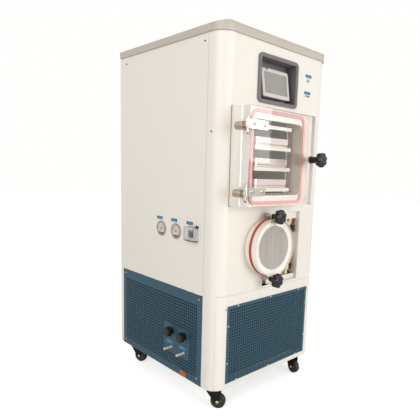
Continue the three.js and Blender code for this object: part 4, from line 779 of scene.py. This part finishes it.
def pipe(points, radius, bm=None, sides=14, smooth_steps=8):
    """A round bar or hose along a smooth curve through the points (metres)."""
    bm = bm or bmesh.new()
    path = []
    n = len(points)
    for i in range(n - 1):
        p0, p1 = points[max(i - 1, 0)], points[i]
        p2, p3 = points[i + 1], points[min(i + 2, n - 1)]
        for s in range(smooth_steps if n > 2 else 1):
            t = s / smooth_steps
            path.append(0.5 * (
                2 * p1 + (p2 - p0) * t + (2 * p0 - 5 * p1 + 4 * p2 - p3) * t * t
                + (3 * p1 - p0 - 3 * p2 + p3) * t ** 3))
    path.append(points[-1])
    side = (path[1] - path[0]).normalized().orthogonal().normalized()
    rings = []
    for i, point in enumerate(path):
        ahead = (path[min(i + 1, len(path) - 1)] - path[max(i - 1, 0)]).normalized()
        side = (side - ahead * side.dot(ahead)).normalized()
        other = ahead.cross(side)
        rings.append([
            bm.verts.new(point + (side * cos(a) + other * sin(a)) * radius / 1000)
            for a in (2 * pi * k / sides for k in range(sides))
        ])
    return capped(bm, rings)


ROD_X, ROD_REACH = 122, 143
bm = bmesh.new()
for y in (276, 6):
    pipe([offset(chamber_at, ROD_X, y, z) for z in (-ROD_REACH, ROD_REACH)], 3.2, bm)
piece("chamber_tie_rods", bm, satin_steel)

# ---------- chamber door ----------
# A slab of cast acrylic 37 mm thick, sawn to size and left matt at its edges. It hangs on two
# steel straps, and a round notch at its right edge lets the clamp screw pass.
ACRYLIC_IOR = 1.49


def clear_plastic(name, slot, code, roughness):
    """Clear plastic, wiped unevenly. Its shadow is light, as a clear part lets the lamps through."""
    made, tree, shader, output = new_material(name, slot, {
        "Base Color": linear(code), "Transmission Weight": 1, "IOR": ACRYLIC_IOR,
    })
    wipe = pattern(tree, "Noise", 9.0, 4.0).outputs[0]
    vary_roughness(tree, shader, wipe, roughness * 0.5, roughness * 1.5)
    clear = add(tree, "BsdfTransparent", {"Color": (0.97, 0.97, 0.96, 1)})
    shadow = add(tree, "LightPath").outputs["Is Shadow Ray"]
    seen = add(tree, "MixShader", {0: shadow, 1: shader.outputs[0], 2: clear.outputs[0]})
    tree.links.new(seen.outputs[0], output.inputs["Surface"])
    return made


def circle(radius, cx, cy, count):
    """Outline of a hole, clockwise, in mm."""
    return [
        (cx + radius * cos(a), cy - radius * sin(a))
        for a in (2 * pi * i / count for i in range(count))
    ]


# Acrylic: water-clear, with a trace of warm grey in its depth.
acrylic = clear_plastic("cast_acrylic", "acrylic", "#fbfaf8", 0.015)
DOOR_FACE, STRAP_FACE = 97, 103.3  # mm in front of the cabinet's sheet
CLAMP_X, CLAMP_Z, NOTCH = 183, 4, 7
door_left, door_right = COLLAR_SHIFT - 198, COLLAR_SHIFT + 198
notch_low, notch_high = CLAMP_Z - NOTCH, CLAMP_Z + NOTCH
pane = [(door_left, -186), (door_right, -186), (door_right, notch_low), (CLAMP_X, notch_low)]
pane += [
    (CLAMP_X - NOTCH * sin(a), CLAMP_Z - NOTCH * cos(a))
    for a in (pi * i / 12 for i in range(1, 12))
]
pane += [(CLAMP_X, notch_high), (door_right, notch_high), (door_right, 186), (door_left, 186)]
STRAP_BOLTS, BOLT_RISE = (32, 87), 5  # mm from the pin
bolt_holes = [
    circle(4.5, PIN_X + along, z + BOLT_RISE, 20) for z in HINGES.values() for along in STRAP_BOLTS
]
bm = plate(pane, bolt_holes, 37, FRONT_FACING, chamber_at - Y * DOOR_FACE / 1000)
bmesh.ops.recalc_face_normals(bm, faces=bm.faces)
slab = piece("acrylic_door", with_bevel(bm, 1.1), acrylic, "door", "chamber_door")
# The slab's sawn edges are matt and milky.
sawn_acrylic = two_tone(
    "sawn_matt_acrylic", "acrylic", "#e6e2dc", "#f5f2ed", 240.0, 0.42, 3.0,
    bump=(0.1, FINE_RELIEF), uniform={"Transmission Weight": 0.08, "IOR": ACRYLIC_IOR},
)


def matt_edges(clear_piece):
    """Gives the faces that don't look forwards or backwards the sawn surface."""
    clear_piece.data.materials.append(sawn_acrylic)
    for face in clear_piece.data.polygons:
        if abs(face.normal.y) < 0.6:
            face.material_index = 1


matt_edges(slab)

# Hinge straps: polished flat bar with two rolled knuckles and two button-head bolts each.
strap_steel = steel(
    "polished_steel_strap", "chrome_steel", "#efe7dc", "#c9beb2", 0.18, (1, 1, 12), 40.0)
bar = [(12, -11.5), (103, -11.5), (106, -8.5), (106, 18.5), (103, 21.5), (12, 21.5)]
strap_holes = [circle(4, along, BOLT_RISE, 16) for along in STRAP_BOLTS]
bolt = [(4, -40), (4, 0), (7.5, 0), (7.5, 1.6), (6.6, 3.4), (4.6, 4.6), (3.2, 4.8), (3.2, 2.6), (0, 2.6)]
key = [(0, 2.7), (3.15, 2.7), (3.15, 2.9), (0, 2.9)]
nut = [(0, -41), (7, -41), (7, -36.6), (4, -36.6)]
for which, z in HINGES.items():
    pin_at = offset(chamber_at, PIN_X, PIN_Y, z)
    strap_at = offset(chamber_at, PIN_X, -STRAP_FACE, z)
    bm = with_bevel(plate(bar, strap_holes, 6, FRONT_FACING, strap_at), 0.8)
    for low, high in ((8.6, 21.5), (-11.5, -8.6)):
        knuckle = [(4.4, low), (7.4, low), (8, low + 0.6), (8, high - 0.6), (7.4, high), (4.4, high)]
        knuckle.append(knuckle[0])
        turned(knuckle, 32, pin_at, Z, bm)
        block(bm, (5, -3.3, low), (14, 2.7, high), UPRIGHT, pin_at)
    piece(f"hinge_strap_{which}_bar", bm, strap_steel, "door", f"hinge_strap_{which}")
    bolts, keys = bmesh.new(), bmesh.new()
    for along in STRAP_BOLTS:
        head = offset(strap_at, along, 0, BOLT_RISE)
        turned(bolt, 28, head, -Y, bolts)
        turned(key, 6, head, -Y, keys)
        turned(nut, 6, head, -Y, bolts)
    piece(f"hinge_strap_{which}_bolts", bolts, bright_zinc, "door")
    # The bolts' key sockets are near-black painted shade.
    piece(f"hinge_strap_{which}_keys", keys, recess_black, "door")

# ---------- clamp screws ----------
# Star knobs with seven lobes, moulded in black phenolic resin together with a knurled hub, each
# on a steel screw. A loose chromed washer lies between the hub and the clear door or lid.


def phenolic_black(name, slot, code, roughness):
    """Phenolic resin or enamel: near-black, glossy, with a faint swirl."""
    return two_tone(
        name, slot, code, "#1d1a19", 180.0, roughness, 4.0, bump=(0.08, FINE_RELIEF),
        uniform={"Specular IOR Level": 0.35, "Coat Weight": 0.2, "Coat Roughness": 0.12},
    )


phenolic = phenolic_black("black_phenolic", "black_plastic", "#0f0d0c", 0.3)
# Chrome plate: a warm mirror whose drift to a dark tone is a painted reflection of dark surroundings.
chrome_plate = steel(
    "chrome_plate", "chrome_steel", "#cfc7bf", "#6f655d", 0.14, (1, 1, 1), 60.0, 0.02)
STAR = [
    (0, 0, 0), (12, 0, 0), (24, 0, 0.6), (28.5, 1.2, 1), (30.3, 4, 1), (30.5, 12, 1), (30.3, 19, 1),
    (28.6, 22.4, 1), (25, 24, 0.8), (19, 24.4, 0.3), (17, 25.4, 0), (15, 26.6, 0), (12.6, 26.8, 0),
    (11.8, 26, 0), (5, 25.8, 0), (0, 25.8, 0),
]


def clamp(tag, bodies, nodes, hub_face, hub, r, press, ring, bore):
    """Star and hub on the screw's body, washer on its own. The hub is `hub` mm long and `r` in
    radius and stands on hub_face; the washer stands on press."""
    star = turned([(a, h + hub, s) for a, h, s in STAR], 126, hub_face, -Y, None, 7, 6.5)
    piece(f"{tag}_star_knob", star, phenolic, bodies[0], nodes[0], angle=38)
    barrel = turned([(0, 0), (r - 1.1, 0), (r - 0.3, 0.8), (r - 0.3, 3)], 48, hub_face, -Y)
    turned([(r - 0.9, hub - 2), (r - 0.9, hub + 0.5)], 40, hub_face, -Y, barrel)
    ridge = [(r - 1.3, 2.6, 0), (r, 3, 1), (r, hub - 2, 1), (r - 1.3, hub - 1.6, 0)]
    piece(f"{tag}_hub_core", barrel, phenolic, bodies[0])
    piece(f"{tag}_hub_knurl", turned(ridge, 208, hub_face, -Y, None, 26, 0.9), phenolic, bodies[0])
    washer = [(bore, 0), (ring - 0.6, 0), (ring, 0.6), (ring, 2.9), (ring - 0.6, 3.5), (bore, 3.5)]
    washer = turned([*washer, washer[0]], 48, press, -Y)
    # The washer's dark mottling is a painted reflection.
    piece(f"{tag}_washer_ring", washer, chrome_plate, bodies[1], nodes[1])


THREAD_PITCH = 1.5


def threaded(length, origin):
    """A 10 mm screw with its thread as close ridges."""
    profile = [(0, -length)]
    for i in range(int(length / THREAD_PITCH)):
        base = -length + i * THREAD_PITCH
        profile += [(4.2, base), (4.95, base + THREAD_PITCH / 2)]
    return turned(profile + [(4.2, 0), (0, 0)], 24, origin, -Y)


press = offset(chamber_at, CLAMP_X, -DOOR_FACE - 0.3, CLAMP_Z)
hub_face = press - Y * 0.0038
clamp(
    "door", ("door_screw", "door_washer"), ("door_clamp_knob", "door_clamp_washer"),
    hub_face, 40, 13.5, press, 16.5, 5.6,
)
piece("door_screw_thread", threaded(54, hub_face), satin_steel, "door_screw")

# ---------- cold trap ----------
# A round stainless barrel with a painted flange; ice gathers on the coil inside. A red silicone
# ring seals the clear acrylic disc, which two clamp screws press on.
TRAP_X, TRAP_Z = -56, 683
trap_at = spot(TRAP_X, FRONT, TRAP_Z)
# Brushed stainless: neutral grey, with long fine upright marks.
brushed_trap = steel(
    "brushed_stainless_barrel", "stainless", "#c4c2bf", "#a5a4a3", 0.32, (14, 14, 1), 16.0, 0.12)
FLANGE_FACE, DISC_BACK, DISC_FRONT = 26, 38, 65
barrel = [(0, -368), (110, -368), (110, 0), (106, 0), (106, -364), (0, -364)]
piece("trap_vessel", turned(barrel, 96, trap_at, -Y), brushed_trap, "cabinet", "trap_barrel")
f = FLANGE_FACE
flange = [
    (106, 0.4), (117, 0.4), (117, f - 0.8), (116.2, f), (98.6, f), (98, f - 0.6), (98, f - 8),
    (106, f - 8), (106, 0.4),
]
piece("trap_flange", turned(flange, 96, trap_at, -Y), white_coat)
COIL_RADIUS, COIL_START, COIL_LENGTH, COIL_TURNS = 100.2, 30, 270, 4
helix = [
    offset(
        trap_at, COIL_RADIUS * cos(a), COIL_START + COIL_LENGTH * a / (2 * pi * COIL_TURNS),
        COIL_RADIUS * sin(a),
    )
    for a in (pi / 12 * i for i in range(24 * COIL_TURNS + 1))
]
piece("trap_cooling_coil", pipe(helix, 4.8, None, 12, 2), satin_steel, "cabinet", "trap_coil")
port = [(53, 0), (53, 8), (42, 8), (42, 0)]
piece("trap_duct_port", turned(port, 48, spot(CHAMBER_X, DUCT_Y, 791), Z), satin_steel)
# Red silicone: deep brick red, satin.
red_silicone = two_tone(
    "red_silicone_rubber", "red_silicone", "#a62a22", "#c23a30", 45.0, 0.4, 2.0,
    uniform={"Subsurface Weight": 0.1, "Subsurface Radius": (0.003, 0.001, 0.001)},
)
seal = [
    (110, f + 1), (111, f + 0.3), (121, f + 0.3), (123.4, f + 1.6), (124, f + 4), (124, f + 8),
    (123.4, f + 10.4), (121, f + 11.7), (111, f + 11.7), (110, f + 11), (110, f + 1),
]
bm = turned(seal, 96, trap_at, -Y)
piece("trap_seal_ring", bm, red_silicone, "cabinet", "trap_gasket", angle=60)
TRAP_CLAMPS = {"upper": 131, "lower": -137}


def disc_outline(radius, notch=0.0):
    """A circle; with a notch, round notches of that radius clear the clamp hubs."""
    points = []
    for i in range(144):
        a = 2 * pi * i / 144
        p = Vector((radius * cos(a), radius * sin(a)))
        for height in TRAP_CLAMPS.values():
            centre = Vector((0, height))
            gap = p - centre
            if gap.length < notch:
                p = centre + gap.normalized() * notch
                if p.length > radius:
                    p = p.normalized() * radius
        points.append((p.x, p.y))
    return points


# The disc is clear in front; its sealing face is ground milky and its middle is hazed with fine
# upright scratches, both on the back.
ground_acrylic = two_tone(
    "ground_milky_acrylic", "acrylic", "#dad6d1", "#e9e5e0", 260.0, 0.5, uniform={"IOR": ACRYLIC_IOR})
hazy_acrylic = two_tone(
    "scratched_hazy_acrylic", "acrylic", "#85817e", "#bdb9b6", 110.0, 0.3, 4.0,
    stretch=(1, 1, 0.06), uniform={"Transmission Weight": 0.15, "IOR": ACRYLIC_IOR},
)
MILKY = 7
disc = disc_outline(120, 13)
clear_part = DISC_FRONT - DISC_BACK - MILKY - 0.2
bm = with_bevel(plate(disc, [], clear_part, FRONT_FACING, trap_at - Y * DISC_FRONT / 1000), 2.4, 3, 0.8)
matt_edges(piece("trap_clear_disc", bm, acrylic, "trap_disc", "trap_door", angle=30))
milky_at = trap_at - Y * (DISC_BACK + MILKY) / 1000
bm = plate(disc, [disc_outline(93)], MILKY, FRONT_FACING, milky_at)
piece("trap_disc_sealing_face", bm, ground_acrylic, "trap_disc", angle=30)
bm = plate(disc_outline(92.8), [], MILKY, FRONT_FACING, milky_at)
piece("trap_disc_haze", bm, hazy_acrylic, "trap_disc", angle=30)
lug = [(5.6, 4), (9.4, 4), (10, 4.6), (10, 21.4), (9.4, 22), (5.6, 22), (5.6, 4)]
for which, z in TRAP_CLAMPS.items():
    press = offset(trap_at, 0, -DISC_FRONT - 0.3, z)
    hub_face = press + Y * 0.0242
    clamp(
        f"trap_{which}", (f"{which}_trap_screw", f"{which}_trap_washer"),
        (f"trap_knob_{which}", f"trap_washer_{which}"), hub_face, 28, 10.5, press, 19, 11.2,
    )
    piece(f"trap_{which}_thread", threaded(26.5, hub_face), satin_steel, f"{which}_trap_screw")
    bm = turned(lug, 32, trap_at + Z * z / 1000, -Y)
    inner, outer = (106, z - 8) if z > 0 else (z + 8, -106)
    block(bm, (-8, inner, 6), (8, outer, 20), FRONT_FACING, trap_at)
    piece(f"trap_{which}_lug", bm, satin_steel)

# ---------- service window ----------
# An opening folded out of the front sheet, through which the pipes are reached. Behind it stand a
# cream-painted steel plate, copper tube, brass nuts, foam sleeves and a red drain hose.
# Cream paint: warm and matt.
cream_paint = moulded("cream_painted_plate", "white_paint", "#f3ead9", 0.5, 0.05)
backing = [(-60, 500), (250, 500), (250, 826), (54, 826), (54, 560), (-60, 560)]
bm = plate(backing, [], 1.5, FRONT_FACING, spot(0, FRONT + 40, 0))
block(bm, (177, FRONT + 20.5, 506), (178.5, FRONT + 39, 822), UPRIGHT, CABINET)
piece("window_backing_plate", bm, cream_paint)
# Copper is dulled to red-brown, brass to straw; the foam is brown-black and the hose dark red.
copper = steel(
    "drawn_copper_tube", "bare_aluminium", "#a06850", "#7f4a38", 0.35, (1, 1, 6), 60.0)
brass_fitting = steel("dull_brass", "bare_aluminium", "#d8cba6", "#b9a67c", 0.35)
foam_black = moulded("black_foam_sleeve", "black_plastic", "#3a302d", 0.8, 0.4)
red_hose = moulded("red_silicone_hose", "red_silicone", "#a5322d", 0.35, 0.05)


def behind(*points):
    """Points in the window: x and z from the cabinet's centre and floor, depth behind the sheet."""
    return [spot(x, FRONT + depth, z) for x, depth, z in points]


line = behind((170, 30, 500), (156, 30, 541), (162, 30, 570), (168, 30, 600), (169, 32, 640))
bm = pipe(line, 5.5)
pipe(behind((169, 30, 722), (169, 30, 736), (172, 30, 752)), 6, bm)
piece("refrigerant_pipes", bm, copper)
bm = pipe(behind((169, 29, 731), (169, 29, 756)), 9)
pipe(behind((158, 28, 548), (164, 28, 575)), 8, bm)
piece("insulated_pipes", bm, foam_black)
fittings = bmesh.new()
for *place, radius, tall in (
    (138, 34, 560, 14, 22), (132, 34, 538, 11, 22), (74, 34, 536, 9, 16), (150, 36, 780, 10, 18),
):
    nut = [(0, -tall / 2), (radius, -tall / 2), (radius, tall / 2), (0, tall / 2)]
    turned(nut, 6, behind(place)[0], Z, fittings)
piece("pipe_nuts", with_bevel(fittings, 1.2, 2, 0.8), brass_fitting)
hose = pipe(behind((184, 26, 812), (176, 28, 784), (171, 30, 760)), 4, None, 18, 8)
piece("drain_hose_red", hose, red_hose)

# ---------- gauges ----------
# Two dial gauges let into the side panel, each a steel case with a rolled bezel, a printed card
# dial with a dark foot, a moulded needle and a glass.
# Rolled steel: warm grey mirror; stoved enamel: glossy black; card: matt, cream-grey.
gauge_bezel = steel(
    "rolled_steel_bezel", "chrome_steel", "#b9aca0", "#9b8e84", 0.22, (1, 1, 1), 30.0, 0.05)
enamel_black = phenolic_black("black_stoved_enamel", "black_enamel", "#1b1b1c", 0.32)
dial_card = two_tone("printed_dial_card", "screen_plastic", "#c8c1b6", "#d6cfc5", 300.0, 0.6)
gauge_glass = clear_plastic("gauge_glass", "acrylic", "#ffffff", 0.02)
needle_brown = moulded("needle_brown", "red_silicone", "#4a3a36", 0.4, 0.02)
GAUGE_Z = 733
GAUGES = (("rear", 8, 38), ("front", -100, -62))  # y, and where the needle points in degrees


def dial_axes(degrees):
    """The left face's axes, turned clockwise on the dial."""
    c, s = cos(radians(degrees)), sin(radians(degrees))
    across, upwards, out = LEFT_FACING
    return across * c - upwards * s, across * s + upwards * c, out


rim = [(28, -30), (28, 0.2), (33, 0.2), (33, 3.6), (32, 4.8), (30.4, 4.8), (29.2, 3.4), (29.2, 1)]
foot_angles = [radians(130 + 10 * i) for i in range(11)]
foot = [(26.4 * sin(a), 26.4 * cos(a)) for a in foot_angles]
needle = [(-1.2, -7), (1.2, -7), (1.0, 0), (0.35, 22), (-0.35, 22), (-1.0, 0)]
for tag, y, reading in GAUGES:
    centre = left_spot(y, GAUGE_Z)
    piece(f"gauge_{tag}_case", turned(rim, 64, centre, -X), gauge_bezel, "cabinet", f"gauge_{tag}")
    bm = turned([(29.2, 0.6), (29.2, 1.1), (0, 1.1)], 64, centre, -X)
    piece(f"gauge_{tag}_dial", bm, dial_card)
    bm = plate(foot[::-1], [], 0.2, LEFT_FACING, centre - X * 0.0014)
    piece(f"gauge_{tag}_foot", bm, enamel_black)
    marks = bmesh.new()
    for step in range(31):
        reach, wide = (20.5, 0.75) if step % 5 == 0 else (23.6, 0.4)
        block(marks, (-wide, reach, 1.2), (wide, 26.5, 1.4), dial_axes(-135 + step * 9), centre)
    piece(f"gauge_{tag}_scale", marks, enamel_black)
    bm = plate(needle, [], 0.5, dial_axes(reading), centre - X * 0.0024)
    turned([(0, 1.2), (3.2, 1.2), (3.2, 2.6), (0, 2.8)], 20, centre, -X, bm)
    piece(f"gauge_{tag}_needle", bm, needle_brown)
    bm = turned([(0, 3), (29.3, 3), (29.3, 4.2), (0, 4.2)], 64, centre, -X)
    piece(f"gauge_{tag}_glass", bm, gauge_glass)

# ---------- circuit breaker ----------
# A grey moulded breaker body set in the panel, with a rocking toggle in its well. A clear cover
# with a black knob on its hinge pin keeps hands off the toggle.
breaker_at = left_spot(-214, 735)
well = rounded(34, 34, 2, 0, 0, 3)
bm = plate(rounded(68, 52, 3), [well], 10, LEFT_FACING, breaker_at - X * 0.010)
piece("breaker_front", with_bevel(bm, 0.8), light_abs, "cabinet", "breaker")
bm = plate(rounded(36, 36, 2, 0, 0, 3), [], 3, LEFT_FACING, breaker_at - X * 0.003)
piece("breaker_well", bm, grey_abs)
bm = bmesh.new()
for side in (-1, 1):
    block(bm, (side * 23 - 2, 25, 0.2), (side * 23 + 2, 33, 6.4), LEFT_FACING, breaker_at)
    cheek = side * 14.3
    block(bm, (cheek - 2.8, -17.2, -8.8), (cheek + 2.8, 17.2, -0.6), LEFT_FACING, breaker_at)
piece("breaker_cover_ears", bm, light_abs)

# Toggle: moulded violet-grey lever on its own axle, worked through the well.
toggle_violet = moulded("violet_grey_nylon", "black_plastic", "#6d6069", 0.45, 0.05)
toggle_at = breaker_at - X * 0.001
axle = [(0, -10.8), (8.6, -10.8), (9, -10.2), (9, 10.2), (8.6, 10.8), (0, 10.8)]
bm = turned(axle, 32, toggle_at, Y)
bmesh.ops.recalc_face_normals(bm, faces=bm.faces)
block(bm, (-9, -6.4, 4), (9, 6.4, 13), LEFT_FACING, toggle_at)
piece("toggle_lever", with_bevel(bm, 1.2, 3), toggle_violet, "toggle", "breaker_toggle")

# Cover: clear polycarbonate shell, 1.5 mm thick, with a black knob on its hinge pin and a black
# strip of painted shade along its lower edge.
cover_clear = clear_plastic("clear_polycarbonate", "acrylic", "#f4f6f4", 0.05)
solid_piece("breaker_cover", cover_clear, "switch_cover", 0.5, 2)
knob = [(0, 25.4), (5, 25.4), (5.6, 26.2), (5.6, 35), (4.8, 36), (0, 36.2)]
bm = turned(knob, 32, offset(breaker_at, -4.5, 0, 31), -Y)
piece("cover_hinge_knob", bm, phenolic, "switch_cover")
# A black bar along the cover's lower edge is painted shade.
bm = block(bmesh.new(), (-36, -28.3, 2.2), (36, -25.9, 18.9), LEFT_FACING, breaker_at)
piece("cover_lower_painted_shade", bm, enamel_black, "switch_cover")

# ---------- panel valves ----------
# Two diaphragm valves behind the panel: black lobed knob through a round collar, and below it a
# barbed stainless nipple.
# The nipples are satin and pale; the knobs are ribbed black plastic with a red cast.
pale_steel = steel(
    "satin_pale_nipple_steel", "chrome_steel", "#f6f1ea", "#e6dfd6", 0.42, (1, 1, 1), 90.0, 0.05, 0.35)
aubergine_knob = phenolic_black("black_ribbed_plastic", "black_plastic", "#120a0e", 0.4)
KNOB_Z, NIPPLE_Z = 283, 208
knob = [
    (0, 1, 0), (11, 1, 0), (11, 9, 0), (19, 10.4, 0.3), (21.8, 12.6, 1), (22, 18, 1), (21.6, 27, 1),
    (20.2, 30.4, 1), (17, 31.8, 0.6), (12, 32, 0), (0, 32, 0),
]
nipple = [
    (0, -34), (6.4, -34), (6.4, 0.8), (5.8, 1.4), (5.2, 1.6), (5.1, 22), (5.4, 25), (5.1, 26),
    (5.1, 32), (5.4, 34), (4.6, 39), (3.4, 40), (2.6, 40), (2.6, 20), (0, 20),
]
neck = [(0, -30), (15, -30), (15, 0.2), (15.4, 0.2), (15.4, 1.6), (9, 1.6)]
for tag, y in (("air", -76), ("drain", -166)):
    knob_at = left_spot(y, KNOB_Z)
    bm = turned(knob, 126, knob_at, -X, None, 8, 3.4)
    piece(f"{tag}_valve_knob_star", bm, aubergine_knob, f"{tag}_valve_handle", f"{tag}_valve_knob")
    piece(f"{tag}_valve_collar", turned(neck, 40, knob_at, -X), enamel_black)
    bm = turned(nipple, 32, left_spot(y, NIPPLE_Z), -X)
    piece(f"{tag}_valve_fitting", bm, pale_steel, "cabinet", f"{tag}_valve")
labels("valve_labels", [left_spot(-63.5, 230), left_spot(-156.5, 229)], LEFT_FACING, 47, 15)

# ---------- vacuum port ----------
# A stainless pipe stub for the vacuum pump's hose, in a half-round notch at the lower edge of the
# side grille. An orange moulded plug closes it.
solid_piece("vacuum_port", satin_steel, "cabinet", 0.8, 2)
# Polyethylene: dull orange, waxy.
orange_plastic = moulded("orange_polyethylene", "orange_plastic", "#b0602f", 0.45, 0.08)
solid_piece("vacuum_port_cap", orange_plastic, "port_cap", 1.6, 3)

# ---------- refrigeration set ----------
# A hermetic compressor, its shell drawn from steel and finished in black enamel, and a finned
# aluminium condenser with its shroud and fan. All of it is bolted to the base tray.
solid_piece("compressor", enamel_black, "cabinet", 4, 3)
# Fins: grey aluminium, closely ribbed.
fin_aluminium = steel(
    "condenser_aluminium", "bare_aluminium", "#c9cbcc", "#9ea1a3", 0.4, (60, 1, 1), 30.0, 0.4)
solid_piece("condenser", fin_aluminium, "cabinet", 0.8)
fan_black = moulded("fan_black_nylon", "black_plastic", "#262626", 0.55)
solid_piece("fan_rotor", fan_black, "fan", 0.8)

# ---------- casters ----------
# Twin-race swivel plate casters: black plated fork, black rubber tyre with fine rings, steel
# axle with domed caps.
# Tyre rubber: black, dusty; the nylon web is brown and the plated fork dark grey.
tyre_rubber = two_tone(
    "black_rubber_tyre", "caster_rubber", "#1a1a19", "#33302c", 50.0, 0.6, 5.0, bump=(0.1, 0.0005))
brown_hub = moulded("brown_nylon_tread", "caster_rubber", "#6e5a44", 0.5, 0.05)
fork_black = steel("black_plated_fork", "black_enamel", "#3a3836", "#262524", 0.4, scale=70.0)
CASTERS = ((-272, -297, 35), (252, -297, -8), (-272, 300, 20), (252, 300, -15))  # x, y, swivel
AXLE_HEIGHT, CASTER_TRAIL = 32, 28
half_tyre = [
    (32, 2.4), (31.9, 8), (31, 10), (29.4, 11.2), (28.4, 11.9), (27.4, 11.6), (26.4, 12.4), (25.5, 12),
    (18, 12),
]
tyre = [(r, -h) for r, h in reversed(half_tyre)]
tyre += [(31.3, -1.8), (31.3, 1.8), *half_tyre, (18, -12)]
half_web = [(18.2, 11.8), (17, 8.6), (15, 6.4), (10, 7), (9, 11), (8, 12), (4.6, 12)]
web = [(r, -h) for r, h in reversed(half_web)] + half_web + [(4.6, -12)]
axle_cap = [(0, 18), (6.8, 18), (6.8, 20.4), (5.4, 22.2), (3, 23), (0, 23.2)]
for number, (x, y, swivel) in enumerate(CASTERS, 1):
    solid_piece(f"caster_fork_{number}", fork_black, f"caster_{number}", 0.8, 2)
    a = radians(swivel)
    across = Vector((cos(a), sin(a), 0))
    trail = Vector((sin(a), -cos(a), 0))
    hub = spot(x, y, AXLE_HEIGHT) + trail * CASTER_TRAIL / 1000
    wheel = f"wheel_{number}"
    piece(wheel + "_tyre", turned(tyre, 72, hub, across), tyre_rubber, wheel, f"caster_wheel_{number}")
    piece(wheel + "_web", turned(web, 48, hub, across), brown_hub, wheel)
    caps = bmesh.new()
    for side in (-1, 1):
        turned(axle_cap, 28, hub, across * side, caps)
    piece(f"caster_{number}_axle_caps", caps, bright_zinc, f"caster_{number}")
